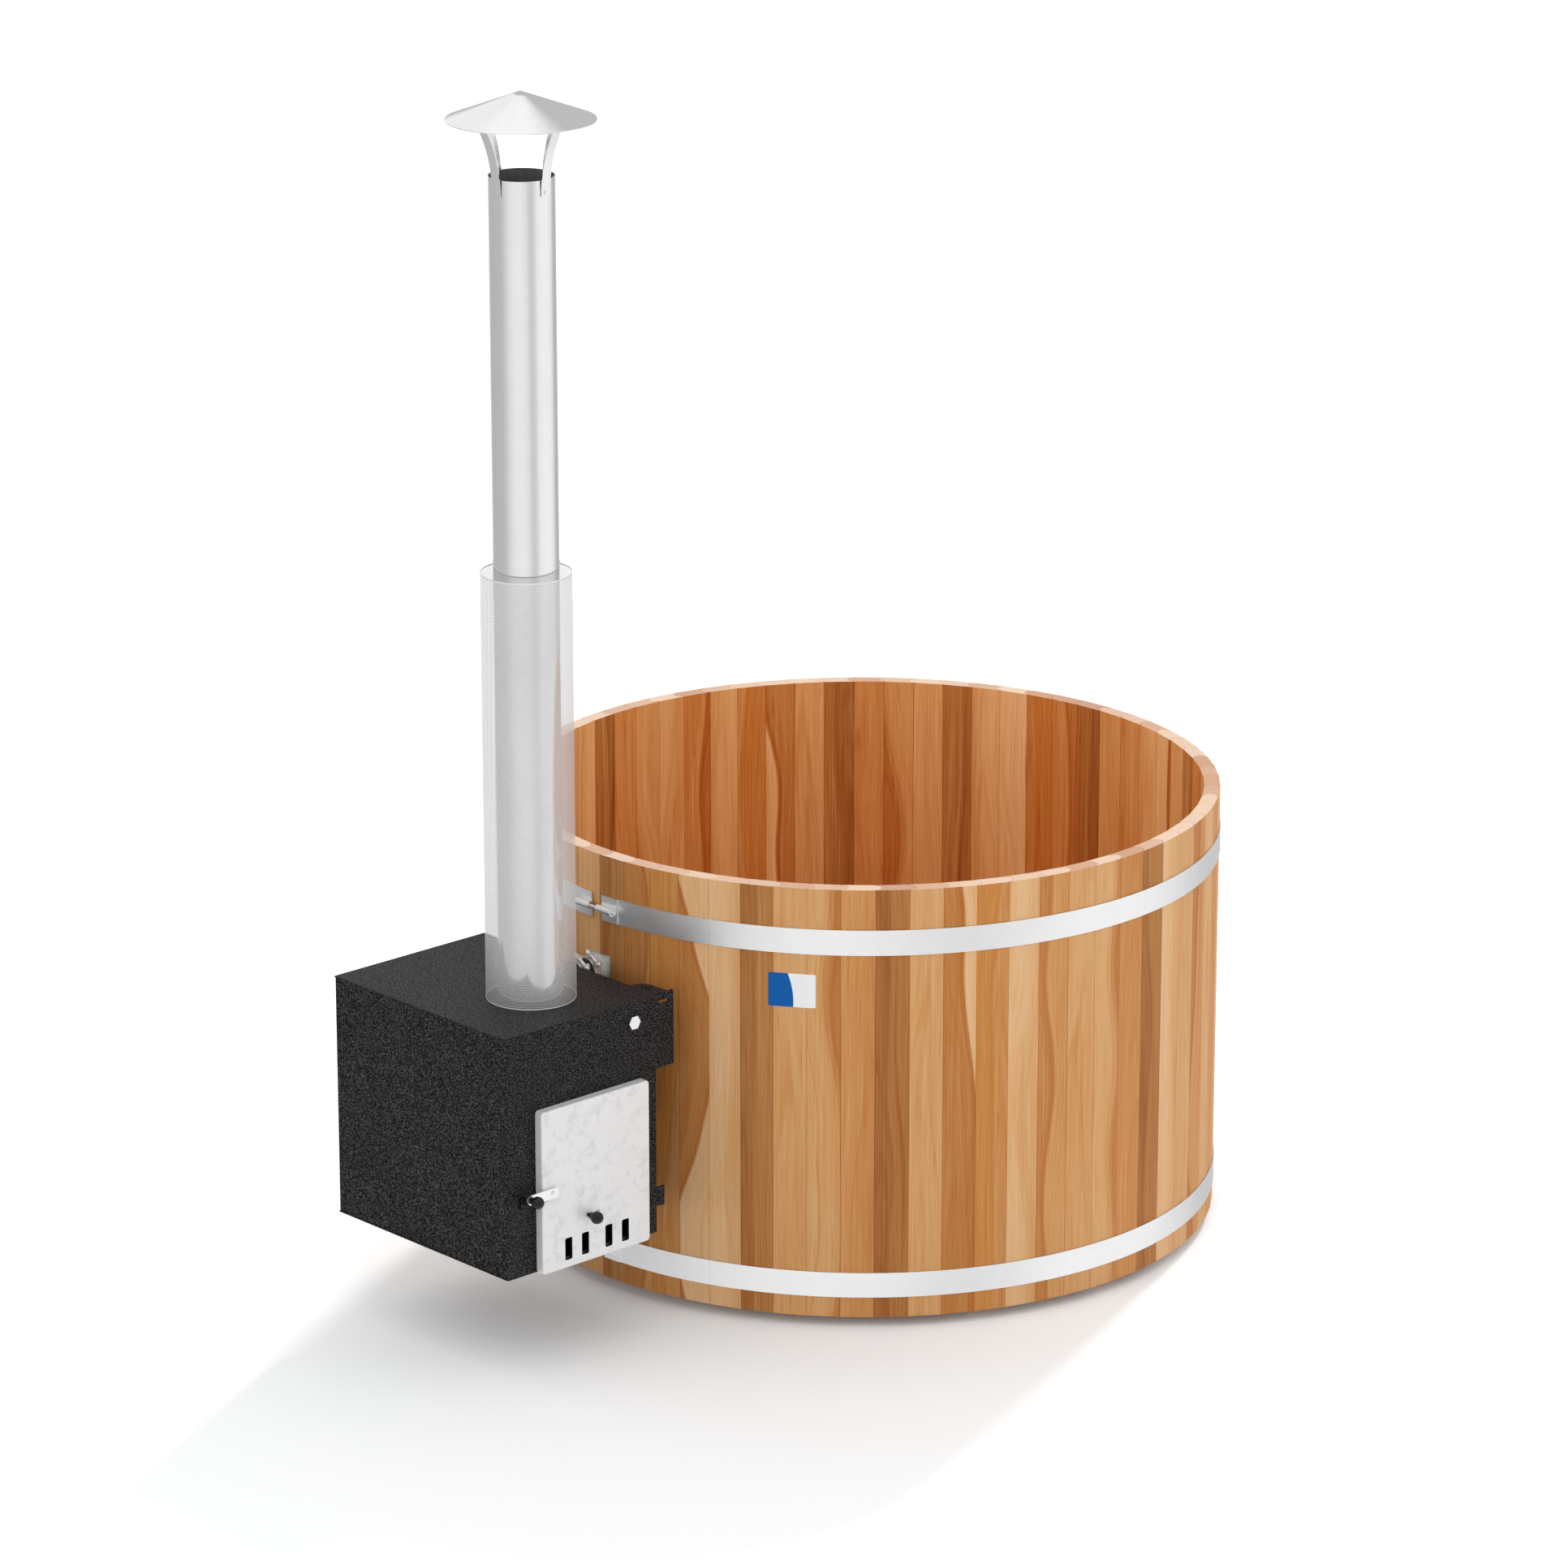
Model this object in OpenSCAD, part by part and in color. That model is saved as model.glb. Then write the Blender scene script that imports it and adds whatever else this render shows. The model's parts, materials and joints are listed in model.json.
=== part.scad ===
// Round coopered hot tub with an outside wood-fired water heater and a flue.
// +Z is up, the origin is on the tub axis at the ground, the heater is on -X
// and its fire door faces -Y.

/* [Tub] */
// outer radius of the tub over the stave corners
tub_r = 800; // [700:5:950]
// height of the staves
stave_h = 980; // [900:5:1100]
// thickness of the staves
stave_t = 36; // [30:1:42]
// number of staves
stave_n = 68; // [60:2:76]
// turn of the first stave joint from +X
stave_phase = 0.45; // [0:0.05:2.5]
// radius of the bead along one edge of each stave
bead_r = 14.5; // [10:0.5:15]
// gap between a bead and its cove
joint_gap = 0.15; // [0.1:0.05:0.3]
// height of the stave ends above the ground
ground_gap = 24; // [15:1:40]
// height of the floor underside above the stave ends
chime_h = 50; // [35:1:80]
// thickness of the floor boards
floor_t = 36; // [28:1:45]
// depth of the groove that holds the floor
croze_d = 10; // [6:1:14]
// width of one floor board
board_w = 138; // [110:2:170]
// width of a runner under the floor
runner_w = 70; // [50:2:95]
// spacing of the runners
runner_pitch = 290; // [240:5:300]

/* [Hoops] */
// height of the hoop band
hoop_h = 57; // [40:1:70]
// thickness of the hoop band
hoop_t = 2; // [1.5:0.5:3]
// distance of the upper hoop's top edge below the rim
upper_hoop_drop = 90; // [70:1:120]
// lower edge of the lower hoop above the stave ends
lower_hoop_z = 47; // [40:1:90]
// thickness of a lug plate
lug_t = 2.5; // [2:0.5:4]
// width of a lug plate round the tub
lug_w = 48; // [36:1:60]
// space between the two lug plates
lug_space = 32; // [24:1:40]
// outer radius of a lug barrel
barrel_r = 9; // [8:0.5:11]
// radius of the hoop bolts
hoop_bolt_r = 4; // [3:0.5:5]
// width across flats of the hoop nuts
hoop_nut_af = 15; // [13:0.5:18]

/* [Bench] */
// height of the seat above the floor
seat_h = 320; // [280:5:380]
// thickness of the seat slats
slat_t = 28; // [22:1:36]
// width of a seat slat
slat_w = 88; // [70:1:95]
// space between the slats
slat_space = 9; // [6:1:15]
// thickness of the seat supports
support_t = 36; // [28:1:45]

/* [Drain] */
// outer radius of the drain spigot
drain_r = 24; // [20:1:28]
// lift of the drain plug
plug_lift = 60; // [40:5:90]

/* [Water ports] */
// distance of the upper port below the heater top
upper_port_drop = 32; // [28:1:36]
// height of the lower port above the heater underside
lower_port_rise = 58; // [52:1:110]
// width of the flat seat cut for a port flange
port_seat_w = 71; // [66:1:90]
// depth of that seat
port_seat_d = 6; // [4:0.5:10]
// outer radius of a port spigot
spigot_r = 27; // [22:0.5:28]
// thickness of the hose wall
hose_t = 5; // [4:0.5:6]
// width of a hose clamp band
clamp_w = 16; // [12:1:20]
// radius of a hose clamp bolt
clamp_bolt_r = 3; // [2.5:0.5:4]

/* [Heater] */
// size of the heater body away from the tub
heater_d = 424; // [380:2:500]
// width of the heater body over its lip
heater_w = 564; // [520:2:640]
// height of the heater body
heater_h = 545; // [520:1:640]
// underside of the heater body above the stave ends
heater_z = 204; // [190:1:210]
// space between the tub and the heater body
heater_gap = 87; // [80:1:95]
// thickness of the heater sheet
sheet_t = 3; // [3:0.5:5]
// width of the water space round the firebox
jacket_w = 45; // [35:1:60]
// height of the water space over the firebox
jacket_h = 72; // [60:1:90]
// reach of the two fixing ears past the body
ear_reach = 52; // [42:1:60]
// height of the front ear
ear_h = 177; // [150:1:200]
// width across flats of the front plug
plug_af = 28; // [25:1:36]

/* [Fire door] */
// width of the door
door_w = 306; // [296:2:330]
// height of the door
door_h = 368; // [360:2:380]
// thickness of the door
door_t = 22; // [20:1:24]
// distance of the door from the tub side of the front
door_inset = 39; // [37:1:60]
// drop of the door below the heater underside
door_drop = 2; // [0:0.5:4]
// corner radius of the door
door_corner = 9; // [8:1:24]
// thickness of the door face
door_face = 4; // [4:0.5:5]
// width of an air slot
slot_w = 20.5; // [14:0.5:22]
// height of an air slot
slot_h = 50; // [40:1:60]
// corner radius of an air slot
slot_corner = 4; // [2:0.5:9]
// travel of the air slide
slide_travel = 26; // [24:1:28]
// radius of the ball knobs
knob_r = 14; // [11:0.5:15]
// length of the latch bar
latch_len = 88; // [86:1:100]
// width of the latch bar
latch_w = 23; // [18:1:28]

/* [Flue] */
// outer radius of the flue pipe
flue_r = 70; // [60:1:75]
// wall of the flue pipe
flue_wall = 1.5; // [1:0.5:2]
// offset of the flue towards the door
flue_off = 107; // [90:1:120]
// length of the lower pipe
lower_pipe_l = 964; // [900:2:1000]
// length of the upper pipe
upper_pipe_l = 826; // [780:2:1000]
// outer radius of the guard
guard_r = 97.5; // [92:0.5:105]
// height of the guard
guard_h = 944; // [850:1:952]
// outer radius of the rain cap
cap_r = 157.5; // [140:0.5:180]
// rise of the rain cap cone
cap_rise = 59; // [45:1:75]
// height of the cap rim above the pipe
cap_lift = 118; // [100:1:130]
// width of a cap strap
strap_w = 24; // [16:1:28]

/* [Hidden] */
$fn = 96;
fit = 0.3;
seat = 0.05;
over = 1;

pitch = 360 / stave_n;
out_ap = tub_r * cos(pitch / 2);
in_ap = out_ap - stave_t;
in_r = in_ap / cos(pitch / 2);
z_end = ground_gap;
z_rim = z_end + stave_h;
z_floor = z_end + chime_h;
z_deck = z_floor + floor_t;
z_seat = z_deck + seat_h;
croze_r = in_r + croze_d;
deck_r = croze_r - 0.5;

hoop_in = tub_r + fit;
hoop_out = hoop_in + hoop_t;
lug_out = hoop_out + seat + lug_t;
barrel_x = lug_out + barrel_r - 2;
lug_from = lug_space / 2;
lug_to = lug_from + lug_w;
nut_h = 7;
band_z = [z_rim - upper_hoop_drop - hoop_h, z_end + lower_hoop_z];

drain_x = runner_pitch / 2;
drain_flange_r = drain_r + 19;
drain_shank_r = drain_r + 2;
drain_nut_h = 9;
drain_end = 12;

seat_x = tub_r - port_seat_d;
flange_t = 5;
flange_r = port_seat_w / 2 - 1.5;
back_w = port_seat_w - 1;
back_t = 1.5;
shank_r = spigot_r - 3;
bore_r = spigot_r - 6;
inner_l = 30;
hose_in = spigot_r + 0.2;
hose_out = hose_in + hose_t;
hose_to = tub_r + heater_gap - 3;
tub_spigot_to = tub_r + 42;
heater_spigot_from = tub_r + heater_gap - 34;
clamp_x = [tub_r + 31, tub_r + heater_gap - 22];
hose_from = clamp_x[0] - clamp_w / 2 - 2;
clamp_turn = 30;
clamp_t = 1;
trunnion_r = 5;
clamp_bolt_z = hose_out + clamp_t + trunnion_r + 1.5;
clamp_half = 13;

back_x = -(tub_r + heater_gap);
front_x = back_x - heater_d;
mid_x = (back_x + front_x) / 2;
plate_y = -heater_w / 2;
face_y = plate_y + sheet_t;
lip = 1.5;
rear_y = heater_w / 2 - lip;
z_base = z_end + heater_z;
z_top = z_base + heater_h;
port_z = [z_top - upper_port_drop, z_base + lower_port_rise];
fire_x0 = front_x + jacket_w;
fire_x1 = back_x - jacket_w;
fire_y1 = rear_y - jacket_w;
fire_z0 = z_base + 8;
fire_z1 = z_top - jacket_h;
fire_t = 5;
grate_rise = 85;

door_x1 = back_x - door_inset;
door_x0 = door_x1 - door_w;
door_cx = (door_x0 + door_x1) / 2;
door_z0 = z_base - door_drop;
door_gap = 1;
door_back = plate_y - door_gap;
door_front = door_back - door_t;
door_rim = 6;
door_edge = 4;
hinge_r = 6.3;
hinge_x = door_x1 - hinge_r;
hinge_y = plate_y - 8;
hinge_pin_r = 2.6;
knuckle_r = 5;
knuckle_h = 24;
knuckle_z = [door_z0 + 50, door_z0 + door_h - 50 - knuckle_h];
mouth_x0 = door_x0 + 24;
mouth_x1 = door_x1 - 34;
mouth_z0 = door_z0 + 16;
mouth_z1 = door_z0 + door_h - 40;
slot_x = [-81, -33.5, 33.5, 81];
slot_z0 = door_z0 + 18;
slot_cx = door_cx;
stem_x = slot_cx - 24;
stem_z = door_z0 + 106;
stem_r = 4;
slide_t = 2.5;
slide_y = door_front + door_face + fit;
slide_z0 = slot_z0 - 5;
slide_z1 = stem_z + 14;
slide_x0 = slot_cx + slot_x[0] - slot_w / 2 - slide_travel - 3;
slide_x1 = slot_cx + slot_x[3] + slot_w / 2 + 4;
knob_off = 27;

latch_z = door_z0 + door_h / 2 - 1;
latch_x = door_x0 + 25;
latch_t = 3.5;
latch_back = door_front - 3;
latch_front = latch_back - latch_t;
latch_end = latch_x + 16;
latch_knob_off = 20;
knob_x = latch_end - latch_len + 10;
stud_r = 4;
peg_r = 3.5;
neck_r = 8;
keeper_t = 4;
keeper_y0 = latch_back + 1;

flue_x = mid_x + 12;
flue_y = -flue_off;
z_joint = z_top + lower_pipe_l;
z_flue_top = z_joint + upper_pipe_l + 2;
z_cap = z_flue_top + cap_lift;
cap_t = 1.5;
cap_tilt = atan(cap_rise / cap_r);
guard_t = 1.5;
guard_bars = 36;
guard_rings = 12;

plug_x = back_x - 65;
plug_z = z_top - 47;
plug_out = 7;

// ---- shared forms ----

// a point at a distance from the tub axis
function polar(r, a) = [r * cos(a), r * sin(a)];

// places a form that points out along +X at the port heights
module at_ports() {
    for (z = port_z)
        translate([0, 0, z])
            rotate([0, 0, 180])
                children();
}

// a ring about Z
module ring(r_out, r_in, h) {
    difference() {
        cylinder(r = r_out, h = h);
        translate([0, 0, -over])
            cylinder(r = r_in, h = h + 2 * over);
    }
}

// a ring about X from x0 to x1
module ring_x(r_out, r_in, x0, x1) {
    translate([x0, 0, 0])
        rotate([0, 90, 0])
            ring(r_out, r_in, x1 - x0);
}

// a hexagonal prism about Z
module hex(af, h) {
    cylinder(r = af / 2 / cos(30), h = h, $fn = 6);
}

// a box between two corners
module box(a, b) {
    translate(a)
        cube([b[0] - a[0], b[1] - a[1], b[2] - a[2]]);
}

// a plate in the X-Z plane with round corners, thickness towards -Y
module door_slab(x0, z0, w, h, r, y_back, t) {
    translate([x0, y_back, z0])
        rotate([90, 0, 0])
            linear_extrude(height = t)
                round_rect(w, h, r);
}

// a rectangle with round corners and its low corner at the origin
module round_rect(w, h, r) {
    translate([r, 0])
        square([w - 2 * r, h]);
    translate([0, r])
        square([w, h - 2 * r]);
    for (x = [r, w - r])
        for (y = [r, h - r])
            translate([x, y])
                circle(r = r);
}

// a bar shape with round ends along X, centred
module pill(l, w) {
    square([l - w, w], center = true);
    for (s = [-1, 1])
        translate([s * (l - w) / 2, 0])
            circle(r = w / 2);
}

// ---- tub ----

// one stave in plan, with its bead towards the higher angle
module stave_plan(a) {
    g = joint_gap / 2 / tub_r * 180 / PI;
    bead = polar(out_ap / cos(pitch / 2) - stave_t / 2, a + pitch);
    cove = polar(out_ap / cos(pitch / 2) - stave_t / 2, a);
    difference() {
        union() {
            polygon([polar(tub_r, a + g), polar(tub_r, a + pitch - g),
                polar(in_r, a + pitch - g), polar(in_r, a + g)]);
            translate(bead)
                circle(r = bead_r - joint_gap / 2, $fn = 48);
        }
        translate(cove)
            circle(r = bead_r + joint_gap / 2, $fn = 48);
    }
}

// one whole stave with the groove that holds the floor
module stave(a) {
    difference() {
        translate([0, 0, z_end])
            linear_extrude(height = stave_h)
                stave_plan(a);
        translate([0, 0, z_floor - 0.2])
            cylinder(r = croze_r, h = floor_t + 0.4, $fn = 128);
    }
}

// the staves that the water ports do not touch
module staves() {
    color("peru")
        for (i = [0:stave_n - 1])
            if (!is_port_stave(i))
                stave(stave_phase + i * pitch);
}

// true for a stave within reach of the port seats
function is_port_stave(i) =
    abs(stave_phase + (i + 0.5) * pitch - 180) * tub_r * PI / 180
        < port_seat_w / 2 + tub_r * sin(pitch / 2) + bead_r + 1;

// the staves cut for the water ports
module port_staves() {
    color("peru")
        for (i = [0:stave_n - 1])
            if (is_port_stave(i))
                difference() {
                    stave(stave_phase + i * pitch);
                    port_cuts();
                }
}

// flat seats and bores for the two ports
module port_cuts() {
    at_ports() {
        box([seat_x, -port_seat_w / 2, -port_seat_w / 2],
            [tub_r + 20, port_seat_w / 2, port_seat_w / 2]);
        translate([in_ap - 20, 0, 0])
            rotate([0, 90, 0])
                cylinder(r = shank_r + fit, h = stave_t + 40);
        box([in_ap - 20, -hull_nut_r - 3, -hull_nut_r - 3],
            [in_ap + 1, hull_nut_r + 3, hull_nut_r + 3]);
    }
}

hull_nut_r = shank_r + 9;

// tongued floor boards in a disc
module floor_boards() {
    rows = ceil(deck_r / board_w - 0.5);
    color("burlywood")
        for (i = [-rows:rows])
            intersection() {
                translate([0, 0, z_floor])
                    difference() {
                        board(i, rows);
                        translate([drain_x, 0, -over])
                            cylinder(r = drain_shank_r + fit, h = floor_t + 2 * over);
                    }
                translate([0, 0, z_floor])
                    cylinder(r = deck_r, h = floor_t, $fn = 128);
            }
}

// one floor board with a tongue on one side and a groove on the other
module board(i, rows) {
    y0 = (i - 0.5) * board_w;
    difference() {
        union() {
            box([-deck_r, y0 + 0.1, 0], [deck_r, y0 + board_w - 0.1, floor_t]);
            if (i < rows)
                box([-deck_r, y0 + board_w - 1, floor_t / 3 + 0.1],
                    [deck_r, y0 + board_w + 7, floor_t * 2 / 3 - 0.1]);
        }
        if (i > -rows)
            box([-deck_r - over, y0 - over, floor_t / 3],
                [deck_r + over, y0 + 7.3, floor_t * 2 / 3]);
    }
}

// runners that carry the floor and keep the stave ends off the ground
module floor_runners() {
    color("tan")
        for (i = [-2:2]) {
            x = i * runner_pitch;
            half = sqrt(pow(in_ap - 14, 2) - pow(abs(x) + runner_w / 2, 2));
            box([x - runner_w / 2, -half, 0], [x + runner_w / 2, half, z_floor]);
        }
}

// a hoop band open where its lugs meet
module hoop(z) {
    translate([0, 0, z])
        difference() {
            ring(hoop_out, hoop_in, hoop_h, $fn = 192);
            box([-hoop_out - over, -lug_from, -over], [0, lug_from, hoop_h + over]);
        }
}

module upper_hoop() {
    color("silver")
        hoop(band_z[0]);
}

module lower_hoop() {
    color("silver")
        hoop(band_z[1]);
}

// a lug plate with its rolled barrel, on the +Y side
module lug() {
    mid = hoop_h / 2;
    difference() {
        union() {
            intersection() {
                cylinder(r = lug_out, h = hoop_h, $fn = 192);
                box([-lug_out - over, lug_from, 0], [-tub_r / 2, lug_to, hoop_h]);
            }
            translate([-barrel_x, lug_from - 4, mid])
                rotate([-90, 0, 0])
                    cylinder(r = barrel_r, h = lug_w - 4);
            box([-barrel_x, lug_from, mid - barrel_r + 2],
                [-hoop_out + 6, lug_to - 8, mid + barrel_r - 2]);
        }
        translate([0, 0, -over])
            cylinder(r = hoop_out + seat, h = hoop_h + 2 * over, $fn = 192);
        translate([-barrel_x, 0, mid])
            rotate([-90, 0, 0])
                cylinder(r = hoop_bolt_r + 0.5, h = lug_to + over);
        box([-barrel_x - barrel_r - over, lug_from - 5, mid - barrel_r + 2.4],
            [-barrel_x - hoop_bolt_r, lug_to, mid - barrel_r + 4]);
    }
}

module hoop_lugs() {
    color("silver")
        for (z = band_z)
            translate([0, 0, z]) {
                lug();
                mirror([0, 1, 0])
                    lug();
            }
}

bolt_head_y = lug_to - 8 + 0.1;

// long bolts that draw the hoops tight
module hoop_bolts() {
    color("gainsboro")
        for (z = band_z)
            translate([-barrel_x, 0, z + hoop_h / 2])
                rotate([-90, 0, 0]) {
                    translate([0, 0, -bolt_head_y - 12])
                        cylinder(r = hoop_bolt_r, h = 2 * bolt_head_y + 13);
                    translate([0, 0, bolt_head_y])
                        hex(hoop_nut_af, 6);
                }
}

module hoop_nuts() {
    color("gainsboro")
        for (z = band_z)
            translate([-barrel_x, 0, z + hoop_h / 2])
                rotate([90, 0, 0])
                    translate([0, 0, bolt_head_y])
                        difference() {
                            union() {
                                cylinder(r = hoop_nut_af / 2 + 1.5, h = 1.6);
                                hex(hoop_nut_af, nut_h);
                            }
                            translate([0, 0, -over])
                                cylinder(r = hoop_bolt_r + 0.1, h = nut_h + 2 * over);
                        }
}

// ---- bench ----

slat_row = slat_w + slat_space;
bench_out = in_ap - 5;
bench_in = bench_out * cos(30) - 3 * slat_row + 40;

// slats of one bench side, pointing along +X
module bench_side() {
    for (i = [0:2]) {
        x0 = bench_in + i * slat_row;
        x1 = x0 + slat_w;
        translate([0, 0, z_seat - slat_t])
            linear_extrude(height = slat_t)
                intersection() {
                    polygon([[x0, -x0 * tan(30) + 3], [x1, -x1 * tan(30) + 3],
                        [x1, x1 * tan(30) - 3], [x0, x0 * tan(30) - 3]]);
                    circle(r = bench_out);
                }
    }
}

module bench_seats() {
    color("peru")
        for (a = [-120:60:120])
            rotate([0, 0, a])
                bench_side();
}

// upright panels under the ends of the bench sides
module bench_supports() {
    color("peru")
        for (a = [-150:60:150])
            rotate([0, 0, a])
                box([bench_in / cos(30) + 12, -support_t / 2, z_deck],
                    [bench_out - 14, support_t / 2, z_seat - slat_t]);
}

// ---- drain ----

module drain_fitting() {
    color("dimgray")
        translate([drain_x, 0, 0])
            difference() {
                union() {
                    translate([0, 0, z_deck])
                        cylinder(r = drain_flange_r, h = 4);
                    translate([0, 0, z_floor - drain_nut_h - 5])
                        cylinder(r = drain_shank_r, h = z_deck - z_floor + drain_nut_h + 6);
                    translate([0, 0, drain_end])
                        cylinder(r = drain_r, h = z_floor - drain_nut_h - 4 - drain_end);
                }
                translate([0, 0, drain_end - over])
                    cylinder(r = drain_r - 4, h = z_deck);
                translate([0, 0, z_deck - 12])
                    cylinder(r = drain_r - 1.5, h = 20);
            }
}

module drain_nut() {
    color("dimgray")
        translate([drain_x, 0, z_floor - drain_nut_h])
            difference() {
                hex(2 * drain_shank_r + 18, drain_nut_h);
                translate([0, 0, -over])
                    cylinder(r = drain_shank_r + 0.1, h = drain_nut_h + 2 * over);
            }
}

// lift-out plug with a finger loop
module drain_plug() {
    color("dimgray")
        translate([drain_x, 0, z_deck]) {
            translate([0, 0, -11.7])
                cylinder(r = drain_r - 1.9, h = 17);
            translate([0, 0, 4.1])
                cylinder(r = drain_r + 7, h = 4);
            rotate([90, 0, 0])
                translate([0, 7, -2.5])
                    difference() {
                        union() {
                            circle_bar(14, 5);
                            translate([-14, 0, 0])
                                cube([28, 7, 5]);
                        }
                        translate([0, 8, -over])
                            cylinder(r = 8, h = 7);
                    }
        }
}

// a disc standing on its edge, cut flat below
module circle_bar(r, t) {
    intersection() {
        translate([0, 7, 0])
            cylinder(r = r, h = t);
        translate([-r, 0, 0])
            cube([2 * r, 2 * r + 8, t]);
    }
}

// ---- water ports and hoses ----

module hull_fittings() {
    color("lightgray")
        at_ports()
            difference() {
                union() {
                    translate([seat_x + seat, 0, 0])
                        rotate([0, 90, 0])
                            cylinder(r = flange_r, h = flange_t);
                    translate([seat_x + seat, -back_w / 2, -back_w / 2])
                        cube([back_t, back_w, back_w]);
                    translate([seat_x + 1, 0, 0])
                        rotate([0, 90, 0])
                            cylinder(r = spigot_r, h = tub_spigot_to - seat_x - 1);
                    translate([in_ap - inner_l, 0, 0])
                        rotate([0, 90, 0])
                            cylinder(r = shank_r, h = seat_x - in_ap + inner_l + 1);
                }
                translate([in_ap - inner_l - over, 0, 0])
                    rotate([0, 90, 0])
                        cylinder(r = bore_r, h = tub_spigot_to - in_ap + inner_l + 2 * over);
            }
}

module hull_nuts() {
    color("lightgray")
        at_ports()
            ring_x(hull_nut_r, shank_r + 0.1, in_ap + 1 - 9, in_ap + 0.95);
}

// slotted domes over the inner ends of the ports
module hull_strainers() {
    r = shank_r + 12;
    x1 = in_ap + 1 - 9 - 0.1;
    x0 = in_ap - inner_l - 8;
    color("lightgray")
        at_ports()
            difference() {
                translate([x0, 0, 0])
                    rotate([0, 90, 0])
                        cylinder(r = r, h = x1 - x0);
                translate([x0 + 3, 0, 0])
                    rotate([0, 90, 0])
                        cylinder(r = r - 3, h = x1 - x0 - 6);
                translate([x0 + 3, 0, 0])
                    rotate([0, 90, 0])
                        cylinder(r = shank_r + 0.1, h = x1 - x0);
                for (y = [-20:8:20])
                    box([x0 - over, y - 2.1, -sqrt(r * r - y * y) + 10],
                        [x0 + 4, y + 2.1, sqrt(r * r - y * y) - 10]);
            }
}

module hoses() {
    color("black")
        at_ports()
            ring_x(hose_out, hose_in, hose_from, hose_to);
}

// places a form at each clamp with its bolt above the hose
module at_clamps() {
    at_ports()
        for (x = clamp_x)
            translate([x, 0, 0])
                rotate([-clamp_turn, 0, 0])
                    children();
}

module hose_clamps() {
    color("silver")
        at_clamps()
            difference() {
                union() {
                    ring_x(hose_out + seat + clamp_t, hose_out + seat, -clamp_w / 2, clamp_w / 2);
                    for (s = [-1, 1])
                        translate([-clamp_w / 2, s * clamp_half, clamp_bolt_z - 1])
                            rotate([0, 90, 0])
                                cylinder(r = trunnion_r, h = clamp_w);
                    for (s = [-1, 1])
                        box([-clamp_w / 2, s * clamp_half - 2, clamp_bolt_z - 12],
                            [clamp_w / 2, s * clamp_half + 2, clamp_bolt_z - 2]);
                }
                rotate([0, 90, 0])
                    cylinder(r = hose_out + seat, h = 2 * clamp_w, center = true);
                translate([0, -30, clamp_bolt_z])
                    rotate([-90, 0, 0])
                        cylinder(r = clamp_bolt_r + 0.2, h = 60);
            }
}

module clamp_bolts() {
    color("gainsboro")
        at_clamps()
            translate([0, 0, clamp_bolt_z])
                rotate([-90, 0, 0]) {
                    translate([0, 0, -27])
                        cylinder(r = clamp_bolt_r, h = 52);
                    translate([0, 0, -clamp_half - trunnion_r - 0.1 - 5])
                        hex(10, 5);
                    translate([0, 0, clamp_half + trunnion_r + 0.1])
                        cylinder(r = 6, h = 4);
                }
}

// ---- heater ----

// three sides of the heater body, open towards the front plate
module heater_body() {
    color("#2b2c2e")
        difference() {
            box([front_x, face_y, z_base + sheet_t], [back_x, rear_y, z_top - sheet_t]);
            box([front_x + sheet_t, face_y - over, z_base],
                [back_x - sheet_t, rear_y - sheet_t, z_top]);
            for (z = port_z)
                translate([back_x - 20, 0, z])
                    rotate([0, 90, 0])
                        cylinder(r = shank_r + fit, h = 40);
        }
}

// top sheet with a slotted ear towards the tub
module heater_top() {
    ear_y = face_y + 46;
    ear_x = back_x + ear_reach - 16;
    ear_c = back_x + 6;
    color("#2b2c2e")
        translate([0, 0, z_top - sheet_t])
            difference() {
                union() {
                    linear_extrude(height = sheet_t) {
                        translate([front_x - lip, face_y])
                            square([heater_d + lip, rear_y + lip - face_y]);
                        translate([ear_c, ear_y])
                            circle(r = ear_x - ear_c);
                        translate([back_x - over, face_y])
                            square([ear_x - back_x + over, 46]);
                    }
                }
                translate([back_x + 13.5, face_y + 37, -over])
                    linear_extrude(height = sheet_t + 2 * over)
                        rotate([0, 0, 90])
                            pill(21, 7);
                translate([flue_x, flue_y, -over])
                    cylinder(r = flue_r - flue_wall - 0.2, h = sheet_t + 2 * over);
            }
}

module heater_base() {
    color("#2b2c2e")
        box([front_x - lip, face_y, z_base], [back_x, rear_y + lip, z_base + sheet_t]);
}

// front sheet with the fire mouth, a slotted ear and a low tab
module front_plate() {
    color("#2b2c2e")
        difference() {
            union() {
                box([front_x, plate_y, z_base], [back_x, face_y, z_top]);
                box([back_x - over, plate_y, z_top - ear_h + 8],
                    [back_x + ear_reach, face_y, z_top]);
                box([back_x - over, plate_y, z_base + 59],
                    [back_x + ear_reach - 29, face_y, z_base + 103]);
            }
            box([mouth_x0, plate_y - over, mouth_z0], [mouth_x1, face_y + over, mouth_z1]);
            translate([back_x + ear_reach - 29, face_y + over, z_top - 20])
                rotate([90, 0, 0])
                    linear_extrude(height = sheet_t + 2 * over)
                        pill(28, 7);
            translate([plug_x, face_y + over, plug_z])
                rotate([90, 0, 0])
                    cylinder(r = plug_af / 2 - 5 + fit, h = sheet_t + 2 * over);
        }
}

// firebox with the water space round its sides, back and roof
module firebox() {
    color("#303032")
        difference() {
            box([fire_x0, face_y, fire_z0], [fire_x1, fire_y1, fire_z1]);
            box([fire_x0 + fire_t, face_y - over, fire_z0 + fire_t],
                [fire_x1 - fire_t, fire_y1 - fire_t, fire_z1 - fire_t]);
            translate([flue_x, flue_y, fire_z1 - 20])
                cylinder(r = flue_r - flue_wall - 2.5, h = 40);
        }
}

// short tube from the firebox roof that the flue stands over
module flue_throat() {
    color("#303032")
        translate([flue_x, flue_y, fire_z1])
            ring(flue_r - flue_wall - 0.3, flue_r - flue_wall - 2.5, z_top - fire_z1 + 40);
}

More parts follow.
